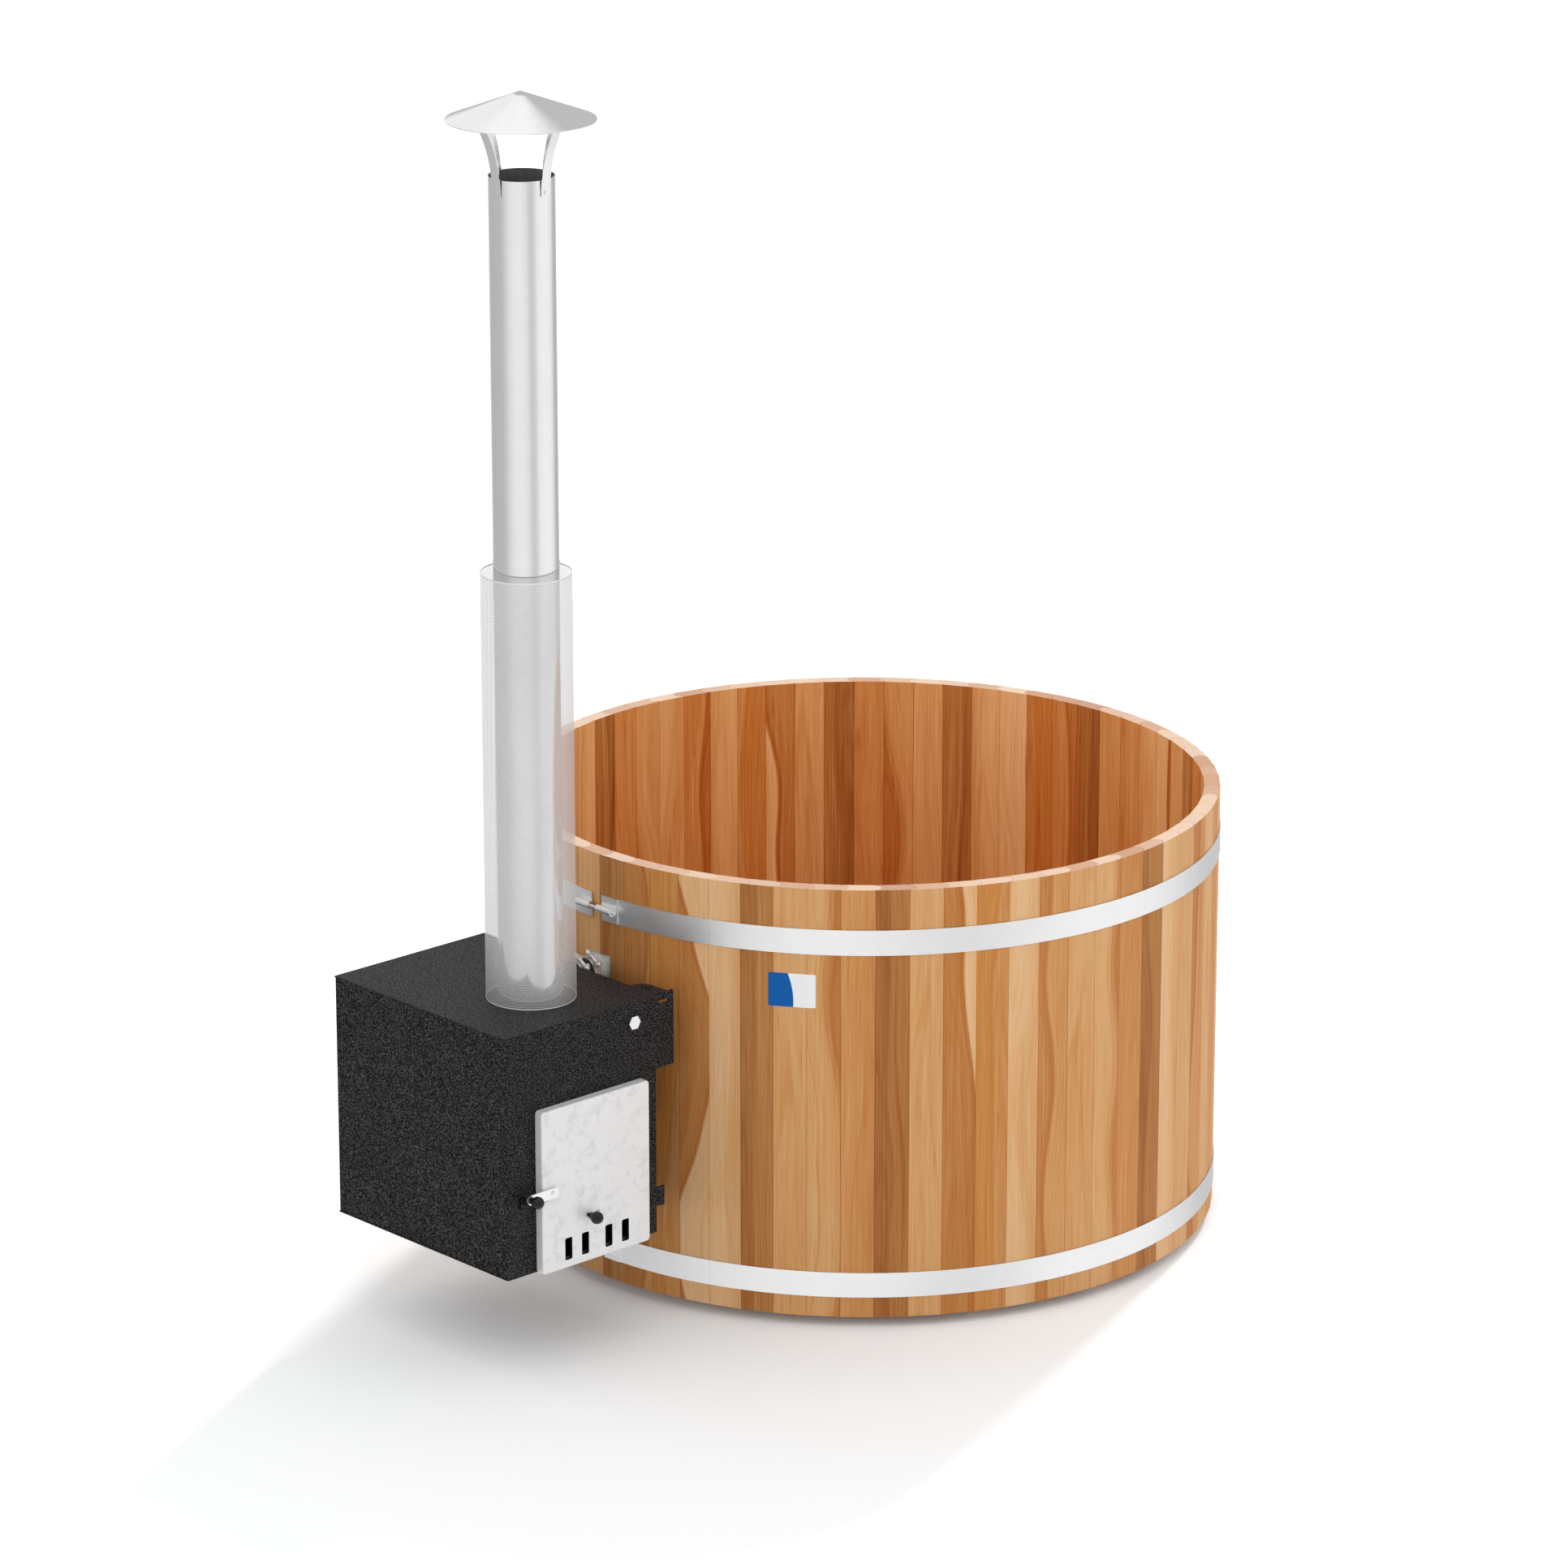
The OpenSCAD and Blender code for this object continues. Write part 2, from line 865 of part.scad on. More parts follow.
// cast grate of bars on two bearers
module fire_grate() {
    gx0 = fire_x0 + fire_t + 6;
    gx1 = fire_x1 - fire_t - 6;
    gy0 = face_y + 30;
    gy1 = fire_y1 - fire_t - 40;
    gz = fire_z0 + fire_t + grate_rise;
    bars = 11;
    step = (gx1 - gx0 - 16) / (bars - 1);
    color("#3a3a3a")
        union() {
            for (i = [0:bars - 1])
                box([gx0 + i * step, gy0, gz], [gx0 + i * step + 16, gy1, gz + 16]);
            for (y = [gy0 + 20, gy1 - 40])
                box([gx0, y, gz - 12], [gx1, y + 20, gz + 2]);
            for (y = [gy0 + 20, gy1 - 40])
                for (x = [gx0, gx1 - 12])
                    box([x, y, fire_z0 + fire_t], [x + 12, y + 20, gz - 6]);
        }
}

module jacket_spigots() {
    color("#303032")
        at_ports()
            difference() {
                union() {
                    translate([heater_spigot_from, 0, 0])
                        rotate([0, 90, 0])
                            cylinder(r = spigot_r, h = tub_r + heater_gap - heater_spigot_from);
                    translate([tub_r + heater_gap - 1, 0, 0])
                        rotate([0, 90, 0])
                            cylinder(r = shank_r, h = sheet_t + 11);
                }
                translate([heater_spigot_from - over, 0, 0])
                    rotate([0, 90, 0])
                        cylinder(r = bore_r, h = 100);
            }
}

// hexagonal plug in the front of the water space
module jacket_plug() {
    color("#2b2c2e")
        translate([plug_x, plate_y, plug_z])
            rotate([90, 0, 0]) {
                hex(plug_af, plug_out);
                translate([0, 0, -sheet_t - 12])
                    cylinder(r = plug_af / 2 - 5, h = sheet_t + 13);
            }
}

// hangers between the tub and the heater, out of sight behind it
hang_y = [-135, 135];
hang_z = [z_base + 110, z_top - 190];
hang_h = 110;
hang_w = 60;
block_t = 26;

module at_hangers() {
    for (y = hang_y)
        for (z = hang_z)
            translate([0, y, z])
                children();
}

// the distance of the wall from the tub axis plane beside a hanger
wall_x = sqrt(tub_r * tub_r - pow(abs(hang_y[0]) + hang_w / 2, 2));
block_x = -wall_x - block_t;

// wooden blocks hollowed to the round of the tub
module hanger_blocks() {
    color("peru")
        difference() {
            at_hangers()
                box([block_x, -hang_w / 2, 0], [-wall_x + 60, hang_w / 2, hang_h]);
            translate([0, 0, 0])
                cylinder(r = tub_r + seat, h = z_rim, $fn = 192);
            at_hangers()
                for (z = [25, hang_h - 25])
                    translate([block_x - over, 15, z])
                        rotate([0, 90, 0])
                            cylinder(r = 3.2, h = 90);
        }
}

module hanger_brackets() {
    color("#2b2c2e")
        at_hangers()
            difference() {
                union() {
                    box([block_x - 4, -hang_w / 2, 0], [block_x, hang_w / 2, hang_h]);
                    box([back_x, -hang_w / 2, 0], [block_x, -hang_w / 2 + 4, hang_h]);
                    box([back_x, -hang_w / 2, 0], [back_x + 4, hang_w / 2 - 20, hang_h]);
                }
                for (z = [25, hang_h - 25])
                    translate([block_x - 4 - over, 15, z])
                        rotate([0, 90, 0])
                            cylinder(r = 3.2, h = 6);
            }
}

// screws through the brackets into the blocks
module hanger_screws() {
    color("gainsboro")
        at_hangers()
            for (z = [25, hang_h - 25])
                translate([block_x - 4, 15, z])
                    rotate([0, 90, 0]) {
                        cylinder(r = 3, h = 16);
                        translate([0, 0, -4])
                            cylinder(r = 6, h = 4);
                    }
}

// ---- fire door hinge and keeper ----

module hinge_leaves() {
    color("#3a3a3a")
        for (z = knuckle_z)
            translate([0, 0, z])
                difference() {
                    union() {
                        translate([hinge_x, hinge_y, 0])
                            cylinder(r = knuckle_r, h = knuckle_h);
                        box([hinge_x - 2, hinge_y, 0], [hinge_x + 2, plate_y, knuckle_h]);
                        box([hinge_x - 14, plate_y - 3, 0], [hinge_x + 2, plate_y, knuckle_h]);
                    }
                    translate([hinge_x, hinge_y, -over])
                        cylinder(r = hinge_pin_r + 0.08, h = knuckle_h + 2 * over);
                }
}

// pins held in the door, one through each knuckle
module hinge_pins() {
    color("gainsboro")
        for (z = knuckle_z)
            translate([hinge_x, hinge_y, z - 14])
                cylinder(r = hinge_pin_r, h = knuckle_h + 28);
}

// notched catch behind the latch bar
module latch_keeper() {
    w = 16;
    color("#3a3a3a")
        difference() {
            union() {
                box([knob_x - w / 2, plate_y - keeper_t, latch_z - 26],
                    [knob_x + w / 2, plate_y, latch_z - 2]);
                box([knob_x - w / 2, keeper_y0, latch_z - 12],
                    [knob_x + w / 2, plate_y, latch_z - 8]);
                box([knob_x - w / 2, keeper_y0, latch_z - 12],
                    [knob_x + w / 2, keeper_y0 + keeper_t, latch_z + 4]);
            }
            translate([knob_x, keeper_y0 - over, latch_z])
                rotate([-90, 0, 0])
                    cylinder(r = stud_r + 0.4, h = keeper_t + 2 * over);
            box([knob_x - stud_r - 0.4, keeper_y0 - over, latch_z],
                [knob_x + stud_r + 0.4, keeper_y0 + keeper_t + over, latch_z + 9]);
        }
}

// ---- fire door ----

// cast tray with air slots, a slot for the slide stem and a rolled hinge edge
module door_casting() {
    inner_x0 = door_x0 + door_rim;
    inner_x1 = hinge_x - hinge_r - 4;
    color("lightgray")
        difference() {
            union() {
                difference() {
                    door_slab(door_x0, door_z0, door_w, door_h, door_corner, door_back, door_t);
                    box([hinge_x, hinge_y, door_z0 - over],
                        [door_x1 + over, door_back + over, door_z0 + door_h + over]);
                }
                translate([hinge_x, hinge_y, door_z0 + door_corner])
                    cylinder(r = hinge_r - 0.2, h = door_h - 2 * door_corner);
                latch_peg();
            }
            door_slab(inner_x0, door_z0 + door_rim, inner_x1 - inner_x0,
                door_h - 2 * door_rim, door_corner - door_rim + 2,
                door_back + over, door_t - door_face + over);
            for (z = knuckle_z) {
                box([inner_x1 - over, door_front + door_face, z - 1.5],
                    [door_x1 + over, door_back + over, z + knuckle_h + 1.5]);
                translate([hinge_x, hinge_y, z - 14])
                    cylinder(r = hinge_pin_r + 0.05, h = knuckle_h + 28);
            }
            for (x = slot_x)
                door_slab(slot_cx + x - slot_w / 2, slot_z0, slot_w, slot_h, slot_corner,
                    door_back, door_t + over);
            front_edge_cut();
            box([stem_x - stem_r - 1, door_front - over, stem_z - stem_r - 0.5],
                [stem_x + slide_travel + stem_r + 1, door_back, stem_z + stem_r + 0.5]);
            translate([latch_x, door_back + over, latch_z])
                rotate([90, 0, 0])
                    cylinder(r = 4.2, h = door_t + 2 * over);
        }
}

// peg on the door face that the latch bar comes down to
module latch_peg() {
    translate([latch_x - 14, door_front + 1, latch_z - latch_w / 2 - peg_r - 0.5])
        rotate([90, 0, 0])
            cylinder(r = peg_r, h = 6.5);
}

// the waste that leaves a quarter round along the door's front edge
module front_edge_cut() {
    for (side = [0, 1])
        translate([side * (door_x0 + door_x1), 0, 0])
            mirror([side, 0, 0]) {
                translate([door_x0, door_front, door_z0 + door_corner])
                    linear_extrude(height = door_h - 2 * door_corner)
                        edge_waste();
                for (top = [0, 1])
                    translate([0, 0, top * (2 * door_z0 + door_h)])
                        mirror([0, 0, top])
                            corner_waste();
            }
    for (top = [0, 1])
        translate([door_x0 + door_corner, 0, top * (2 * door_z0 + door_h)])
            mirror([0, 0, top])
                translate([0, door_front, door_z0])
                    rotate([0, 90, 0])
                        linear_extrude(height = door_w - 2 * door_corner)
                            mirror([1, 0, 0])
                                edge_waste();
}

// the corner of that waste over a round door corner
module corner_waste() {
    translate([door_x0 + door_corner, door_front, door_z0 + door_corner])
        rotate([-90, 0, 0])
            rotate([0, 0, 90])
                rotate_extrude(angle = 90, $fn = 96)
                    translate([door_corner, 0])
                        mirror([1, 0, 0])
                            edge_waste();
}

// a square corner less the quarter round inside it
module edge_waste() {
    difference() {
        translate([-over, -over])
            square(door_edge + over);
        translate([door_edge, door_edge])
            circle(r = door_edge, $fn = 48);
    }
}

// heat shield on posts behind the upper part of the door
module door_liner() {
    x0 = latch_x + 33;
    x1 = hinge_x - 34;
    z0 = slide_z1 + 16;
    z1 = door_z0 + door_h - 46;
    color("#5a5a5a")
        union() {
            box([x0, door_back - 2, z0], [x1, door_back + 0.5, z1]);
            for (x = [x0 + 12, x1 - 12])
                for (z = [z0 + 12, z1 - 12])
                    translate([x, door_back, z])
                        rotate([90, 0, 0])
                            cylinder(r = 5, h = door_t - door_face);
        }
}

// rope seal round the fire mouth
module door_seal() {
    r = door_corner - door_rim + 2;
    color("white")
        difference() {
            door_slab(door_x0 + door_rim + fit, door_z0 + door_rim + fit,
                hinge_x - hinge_r - 4 - door_x0 - door_rim - 2 * fit,
                door_h - 2 * door_rim - 2 * fit, r,
                plate_y - fit, 6);
            door_slab(door_x0 + door_rim + 12, door_z0 + door_rim + 9,
                hinge_x - hinge_r - 4 - door_x0 - door_rim - 24,
                door_h - 2 * door_rim - 20, r,
                plate_y + over, 12);
            for (z = knuckle_z)
                box([hinge_x - 40, door_front, z - 4], [hinge_x, plate_y, z + knuckle_h + 4]);
        }
}

// rails that hold the air slide to the back of the door face
module slide_guides() {
    x0 = slide_x0 - 4;
    x1 = slide_x1 + slide_travel + 4;
    y1 = door_front + door_face;
    color("#5a5a5a") {
        box([x0, y1, slide_z1 + fit], [x1, y1 + slide_t + 2 * fit, slide_z1 + 9]);
        box([x0, y1 + slide_t + 2 * fit, slide_z1 - 4],
            [x1, y1 + slide_t + 2 * fit + 2, slide_z1 + 9]);
        box([x0, y1, slide_z0 - 6.5], [x1, y1 + slide_t + 2 * fit, slide_z0 - fit]);
        box([x0, y1 + slide_t + 2 * fit, slide_z0 - 6.5],
            [x1, y1 + slide_t + 2 * fit + 2, slide_z0 + 4]);
    }
}

// sheet that shuts the air slots
module air_slide() {
    color("#5a5a5a")
        difference() {
            box([slide_x0, slide_y, slide_z0], [slide_x1, slide_y + slide_t, slide_z1]);
            for (x = slot_x)
                door_slab(slot_cx + x - slot_w / 2, slot_z0, slot_w, slot_h, slot_corner,
                    slide_y + slide_t + over, slide_t + 2 * over);
            translate([stem_x, slide_y - over, stem_z])
                rotate([-90, 0, 0])
                    cylinder(r = stem_r - 1 + 0.05, h = slide_t + 2 * over);
        }
}

// threaded stem of the slide with its shoulder and inner nut
module slide_stem() {
    color("gainsboro")
        translate([stem_x, 0, stem_z])
            rotate([90, 0, 0]) {
                translate([0, 0, -slide_y + 0.05])
                    cylinder(r = stem_r, h = slide_y - door_front + knob_off - 6);
                translate([0, 0, -slide_y - slide_t - 3])
                    cylinder(r = stem_r - 1, h = slide_t + 5);
                translate([0, 0, -slide_y - slide_t - 2.05])
                    cylinder(r = 5.5, h = 2);
            }
}

// a ball knob on a stem end, bored for it, with its neck down to a foot
module ball_knob(y_ball, y_foot, r_hole, y_hole) {
    difference() {
        union() {
            translate([0, y_ball, 0])
                sphere(r = knob_r);
            translate([0, y_ball, 0])
                rotate([-90, 0, 0])
                    cylinder(r = neck_r, h = y_foot - y_ball);
        }
        translate([0, y_hole, 0])
            rotate([-90, 0, 0])
                cylinder(r = r_hole, h = 60);
    }
}

module slide_knob() {
    color("#1c1c1c")
        translate([stem_x, door_front, stem_z])
            ball_knob(-knob_off, -knob_off + 18, stem_r + seat, -knob_off + 6 - seat);
}

module latch_bar() {
    mid = (latch_end + latch_end - latch_len) / 2;
    color("silver")
        translate([mid, latch_back, latch_z])
            rotate([90, 0, 0])
                difference() {
                    linear_extrude(height = latch_t)
                        pill(latch_len, latch_w);
                    translate([latch_x - mid, 0, -over])
                        cylinder(r = 4.05, h = latch_t + 2 * over);
                    translate([knob_x - mid, 0, -over])
                        cylinder(r = stud_r + seat, h = latch_t + 2 * over);
                }
}

// stud that carries the latch knob and drops into the keeper
module latch_stud() {
    y_in = keeper_y0 + keeper_t + 1.5;
    y_out = latch_front - latch_knob_off + 6;
    color("gainsboro")
        translate([knob_x, y_in, latch_z])
            rotate([90, 0, 0])
                cylinder(r = stud_r, h = y_in - y_out);
}

module latch_knob() {
    color("#1c1c1c")
        translate([knob_x, latch_front, latch_z])
            ball_knob(-latch_knob_off, -seat, stud_r + seat, -latch_knob_off + 6 - seat);
}

// shoulder bolt that the latch bar turns on
module latch_pivot() {
    color("gainsboro")
        translate([latch_x, 0, latch_z])
            rotate([90, 0, 0]) {
                translate([0, 0, -door_back - 1])
                    cylinder(r = 4, h = door_back - latch_front + 1.5);
                translate([0, 0, -door_front + 0.05])
                    ring(7, 3.9, 2.9);
                translate([0, 0, -latch_front + 0.15])
                    cylinder(r = 6.5, h = 3, $fn = 4);
                translate([0, 0, -door_front - door_face - 4])
                    hex(12, 3.9);
            }
}

// ---- flue ----

module at_flue(z) {
    translate([flue_x, flue_y, z])
        children();
}

module lower_flue() {
    color("silver")
        at_flue(z_top)
            ring(flue_r, flue_r - flue_wall, lower_pipe_l);
}

// upper pipe with its reduced end in the lower one and a bead over the joint
module upper_flue() {
    inner = flue_r - flue_wall - 0.3;
    color("silver")
        at_flue(z_joint)
            difference() {
                union() {
                    cylinder(r = flue_r, h = upper_pipe_l + 2);
                    cylinder(r = flue_r + 1, h = 3);
                    translate([0, 0, -50])
                        cylinder(r = inner, h = 51);
                }
                translate([0, 0, -50 - over])
                    cylinder(r = inner - flue_wall, h = upper_pipe_l + 60);
            }
}

// open sleeve of bars and rings that keeps hands off the hot pipe
module flue_guard() {
    ring_step = (guard_h - 8) / (guard_rings - 1);
    color("silver")
        at_flue(z_top)
            union() {
                for (i = [0:guard_rings - 1])
                    translate([0, 0, i * ring_step])
                        ring(guard_r, guard_r - guard_t, 8);
                for (i = [0:guard_bars - 1])
                    rotate([0, 0, i * 360 / guard_bars])
                        box([guard_r - guard_t - 0.4, -2.5, 0],
                            [guard_r - guard_t + 0.6, 2.5, guard_h]);
            }
}

// plain cone over the open pipe
module rain_cap() {
    drop = cap_t / cos(cap_tilt);
    color("silver")
        at_flue(z_cap)
            rotate_extrude($fn = 128)
                polygon([[0, cap_rise - drop], [cap_r, -drop],
                    [cap_r, 0], [0, cap_rise]]);
}

strap_t = 2;
strap_low = 34;
strap_end_r = flue_r + 50;
strap_dr = strap_end_r - flue_r - 0.1;
strap_end_z = cap_lift + cap_rise * (1 - strap_end_r / cap_r) - cap_t / cos(cap_tilt) - 0.2;
strap_dz = strap_end_z + strap_low;
strap_turn = 2 * atan(strap_dr / strap_dz);
strap_bend = strap_dz / sin(strap_turn);

// one strap from the pipe out to the cap, in the plane of X and Z
module strap() {
    difference() {
        union() {
            strap_bow();
            translate([strap_end_r, 0, strap_end_z])
                rotate([0, cap_tilt, 0])
                    box([-3, -strap_w / 2 + 1, -strap_t], [22, strap_w / 2 - 1, 3]);
        }
        cap_room();
    }
}

// the bowed length of a strap
module strap_bow() {
    translate([flue_r + 0.1 + strap_bend, strap_w / 2, -strap_low])
        rotate([90, 0, 0])
            linear_extrude(height = strap_w)
                intersection() {
                    difference() {
                        circle(r = strap_bend);
                        circle(r = strap_bend - strap_t);
                    }
                    polygon([[0, 0], [-2 * strap_bend, 0],
                        [-2 * strap_bend, 2 * strap_bend * tan(strap_turn + 1)]]);
                }
}

// the space over the underside of the cap
module cap_room() {
    translate([0, 0, strap_end_z])
        translate([strap_end_r, 0, 0])
            rotate([0, cap_tilt, 0])
                box([-60, -strap_w, 0], [60, strap_w, 30]);
}

module cap_straps() {
    color("silver")
        at_flue(z_flue_top)
            for (a = [3:90:273])
                rotate([0, 0, a])
                    difference() {
                        strap();
                        rivet_holes();
                    }
}

rivet_z = [-strap_low + 8];

module rivet_holes() {
    for (z = rivet_z)
        translate([flue_r - 5, 0, z])
            rotate([0, 90, 0])
                cylinder(r = 2.1, h = 10);
}

// rivets through the strap feet, standing on the pipe
module cap_rivets() {
    color("gainsboro")
        at_flue(z_flue_top)
            for (a = [3:90:273])
                rotate([0, 0, a])
                    for (z = rivet_z)
                        translate([flue_r + 0.1, 0, z])
                            rotate([0, 90, 0]) {
                                cylinder(r = 2, h = strap_t + 1);
                                translate([0, 0, strap_t + 0.4])
                                    cylinder(r = 4, h = 1.4);
                            }
}

staves();
port_staves();
floor_boards();
floor_runners();
upper_hoop();
lower_hoop();
hoop_lugs();
hoop_bolts();
hoop_nuts();
bench_seats();
bench_supports();
drain_fitting();
drain_nut();
drain_plug();
hull_fittings();
hull_nuts();
hull_strainers();
hoses();
hose_clamps();
clamp_bolts();
heater_body();
heater_top();
heater_base();
front_plate();
firebox();
flue_throat();
fire_grate();
jacket_spigots();
jacket_plug();
hanger_blocks();
hanger_brackets();
hanger_screws();
hinge_leaves();
hinge_pins();
latch_keeper();
door_casting();
door_liner();
door_seal();
slide_guides();
air_slide();
slide_stem();
slide_knob();
latch_bar();
latch_stud();
latch_knob();
latch_pivot();
lower_flue();
upper_flue();
flue_guard();
rain_cap();
cap_straps();
cap_rivets();
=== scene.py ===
import json
import math

import bpy
from mathutils import Matrix, Vector


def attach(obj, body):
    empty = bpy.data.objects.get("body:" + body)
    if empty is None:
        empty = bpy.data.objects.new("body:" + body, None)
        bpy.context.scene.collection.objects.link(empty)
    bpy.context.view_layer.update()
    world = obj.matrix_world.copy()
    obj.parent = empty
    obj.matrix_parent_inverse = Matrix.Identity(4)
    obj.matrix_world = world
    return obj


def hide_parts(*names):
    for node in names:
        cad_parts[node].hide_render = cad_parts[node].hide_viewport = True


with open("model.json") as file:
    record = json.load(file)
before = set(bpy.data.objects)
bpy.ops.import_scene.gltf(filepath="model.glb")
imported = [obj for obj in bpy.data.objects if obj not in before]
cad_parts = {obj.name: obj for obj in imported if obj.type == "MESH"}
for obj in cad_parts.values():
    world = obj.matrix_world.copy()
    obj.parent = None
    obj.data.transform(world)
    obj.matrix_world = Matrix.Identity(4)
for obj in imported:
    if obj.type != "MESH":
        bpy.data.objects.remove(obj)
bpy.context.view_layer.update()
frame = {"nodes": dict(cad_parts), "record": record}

# ---------------------------------------------------------------- sizes in metres and degrees
# Those of the part are the same as in the construction model.

# tub wall: flat staves round a circle, each with a round bead on one edge
TUB_R = 0.8
STAVES = 68
PHASE = 0.45
PITCH = 360 / STAVES
STAVE_W = 2 * TUB_R * math.sin(math.radians(PITCH / 2))
BEAD_RING = 0.782
BEAD_R = 0.0145
HOOP_SEAM = -158.3

# boards inside the tub; the bench has one side for each 60 degrees
BOARD_W = 0.138
FLOOR_EDGE = -6.5 * BOARD_W
RUNNER_STEP = 0.29
BENCH_SIDE = 60
BENCH_IN = 0.4056
SLAT_STEP = 0.097

# flue pipe and the guard round it
FLUE = (-1.087, -0.107)
PIPE_BORE = 0.069
PIPE_TOP = 2.571
GUARD_R = 0.0974
GUARD_T = 0.0008
GUARD_Z = (0.7732, 1.7168)
GUARD_EDGE = 0.0024
GUARD_INSET = 0.0022
GUARD_COLUMNS = 150
HOLE_SHARE = 0.425

# fire door: its face, the hollow behind it and the height of the slide's stem
DOOR_FACE = -0.305
DOOR_IN_X = (-1.2265, -0.9315)
DOOR_IN_Z = (0.2315, 0.5885)
STEM_Z = 0.332

# label film: its ends round the tub, its height and the middle of its print
LABEL_TURN = (-148.57, -141.10)
LABEL_Z = (0.7345, 0.8106)
LABEL_MID = 0.7723
LABEL_CORNER = 0.004

# camera and light
CAMERA_AT = (-9.8463751, -10.28992805, 5.47219)
CAMERA_AIM = (0.65069773, 0.69748534, -0.30017774)
LENS = 152.3
DOME = 1.0
KEY = 1.50
KEY_SPREAD = 5
KEY_FROM = (0.9157, 0.402, 0.685)
# what shiny surfaces see: the sRGB level at each turn round the studio, a gain on those levels,
# and the linear level above and below
ROUND = ((0, 188), (17, 178), (26, 196), (40, 190), (55, 190), (59, 244), (69, 244), (76, 190),
         (100, 184), (150, 190), (165, 206), (180, 226), (200, 238), (222, 240), (240, 232),
         (257, 206), (268, 212), (282, 240), (300, 250), (325, 246), (343, 232), (353, 206),
         (360, 188))
ROUND_GAIN = 1.087
OVERHEAD = 1.12


# ---------------------------------------------------------------- node helpers

def srgb(*levels):
    """Linear colour for sRGB levels from 0 to 255."""
    def one(v):
        v /= 255
        return v / 12.92 if v <= 0.04045 else ((v + 0.055) / 1.055) ** 2.4
    if len(levels) == 1:
        levels = levels * 3
    return (*map(one, levels), 1)


class Val:
    """A node output that takes part in sums."""

    def __init__(self, graph, socket):
        self.graph, self.socket = graph, socket

    def __add__(self, o): return self.graph.math("ADD", self, o)
    def __radd__(self, o): return self.graph.math("ADD", o, self)
    def __sub__(self, o): return self.graph.math("SUBTRACT", self, o)
    def __rsub__(self, o): return self.graph.math("SUBTRACT", o, self)
    def __mul__(self, o): return self.graph.math("MULTIPLY", self, o)
    def __truediv__(self, o): return self.graph.math("DIVIDE", self, o)


class Graph:
    """A node tree built by function calls."""

    def __init__(self, tree):
        self.tree = tree

    def feed(self, socket, value):
        if isinstance(value, Val):
            self.tree.links.new(value.socket, socket)
        elif value is not None:
            socket.default_value = value

    def node(self, kind, *inputs, **settings):
        made = self.tree.nodes.new("ShaderNode" + kind)
        for key, value in settings.items():
            setattr(made, key, value)
        for socket, value in zip(made.inputs, inputs):
            self.feed(socket, value)
        return made

    def math(self, operation, *values):
        return Val(self, self.node("Math", *values, operation=operation).outputs[0])

    def clamp(self, value):
        made = self.node("Math", value, 1.0, operation="MULTIPLY", use_clamp=True)
        return Val(self, made.outputs[0])

    def step(self, value, low, high):
        """Rises smoothly from zero at low to one at high."""
        made = self.node("MapRange", value, low, high, 0.0, 1.0, interpolation_type="SMOOTHSTEP")
        return Val(self, made.outputs[0])

    def near(self, value, target, width):
        """One where value is at target, falling to zero at the given distance."""
        return 1 - self.step(self.math("ABSOLUTE", value - target), width * 0.35, width)

    def window(self, value, low, high, soft=0.001):
        """One between low and high, falling to zero at both."""
        return self.step(value, low, low + soft) * (1 - self.step(value, high - soft, high))

    def vec(self, x, y, z=0.0):
        return Val(self, self.node("CombineXYZ", x, y, z).outputs[0])

    def noise(self, vector, detail=2.0, rough=0.5, warp=0.0):
        made = self.node("TexNoise", vector)
        made.inputs["Scale"].default_value = 1
        made.inputs["Detail"].default_value = detail
        made.inputs["Roughness"].default_value = rough
        made.inputs["Distortion"].default_value = warp
        return Val(self, made.outputs[0])

    def swing(self, vector, detail=2.0, rough=0.5):
        """Noise between about -1 and 1."""
        return (self.noise(vector, detail, rough) - 0.5) * 2.6

    def cells(self, vector):
        """Distance to the nearest of many scattered points."""
        made = self.node("TexVoronoi", vector)
        made.inputs["Scale"].default_value = 1
        return Val(self, made.outputs[0])

    def chance(self, value):
        """A number from 0 to 1 that is fixed for each value."""
        return Val(self, self.node("TexWhiteNoise", None, value, noise_dimensions="1D").outputs[0])

    def ramp(self, value, stops, interpolation="LINEAR"):
        made = self.node("ValToRGB", value)
        band = made.color_ramp
        band.interpolation = interpolation
        band.elements.remove(band.elements[1])
        band.elements[0].position, band.elements[0].color = stops[0]
        for at, colour in stops[1:]:
            band.elements.new(at).color = colour
        return Val(self, made.outputs[0])

    def blend(self, a, b, factor, how="MIX"):
        made = self.node("Mix", data_type="RGBA", blend_type=how)
        for index, value in ((0, factor), (6, a), (7, b)):
            self.feed(made.inputs[index], value)
        return Val(self, made.outputs[2])

    def deepen(self, colour, amount):
        """Darkens a colour towards its own hue where amount is above zero, and pales it below."""
        return Val(self, self.node("Gamma", colour, amount + 1).outputs[0])

    def parts(self, vector):
        made = self.node("SeparateXYZ", vector)
        return [Val(self, s) for s in made.outputs]


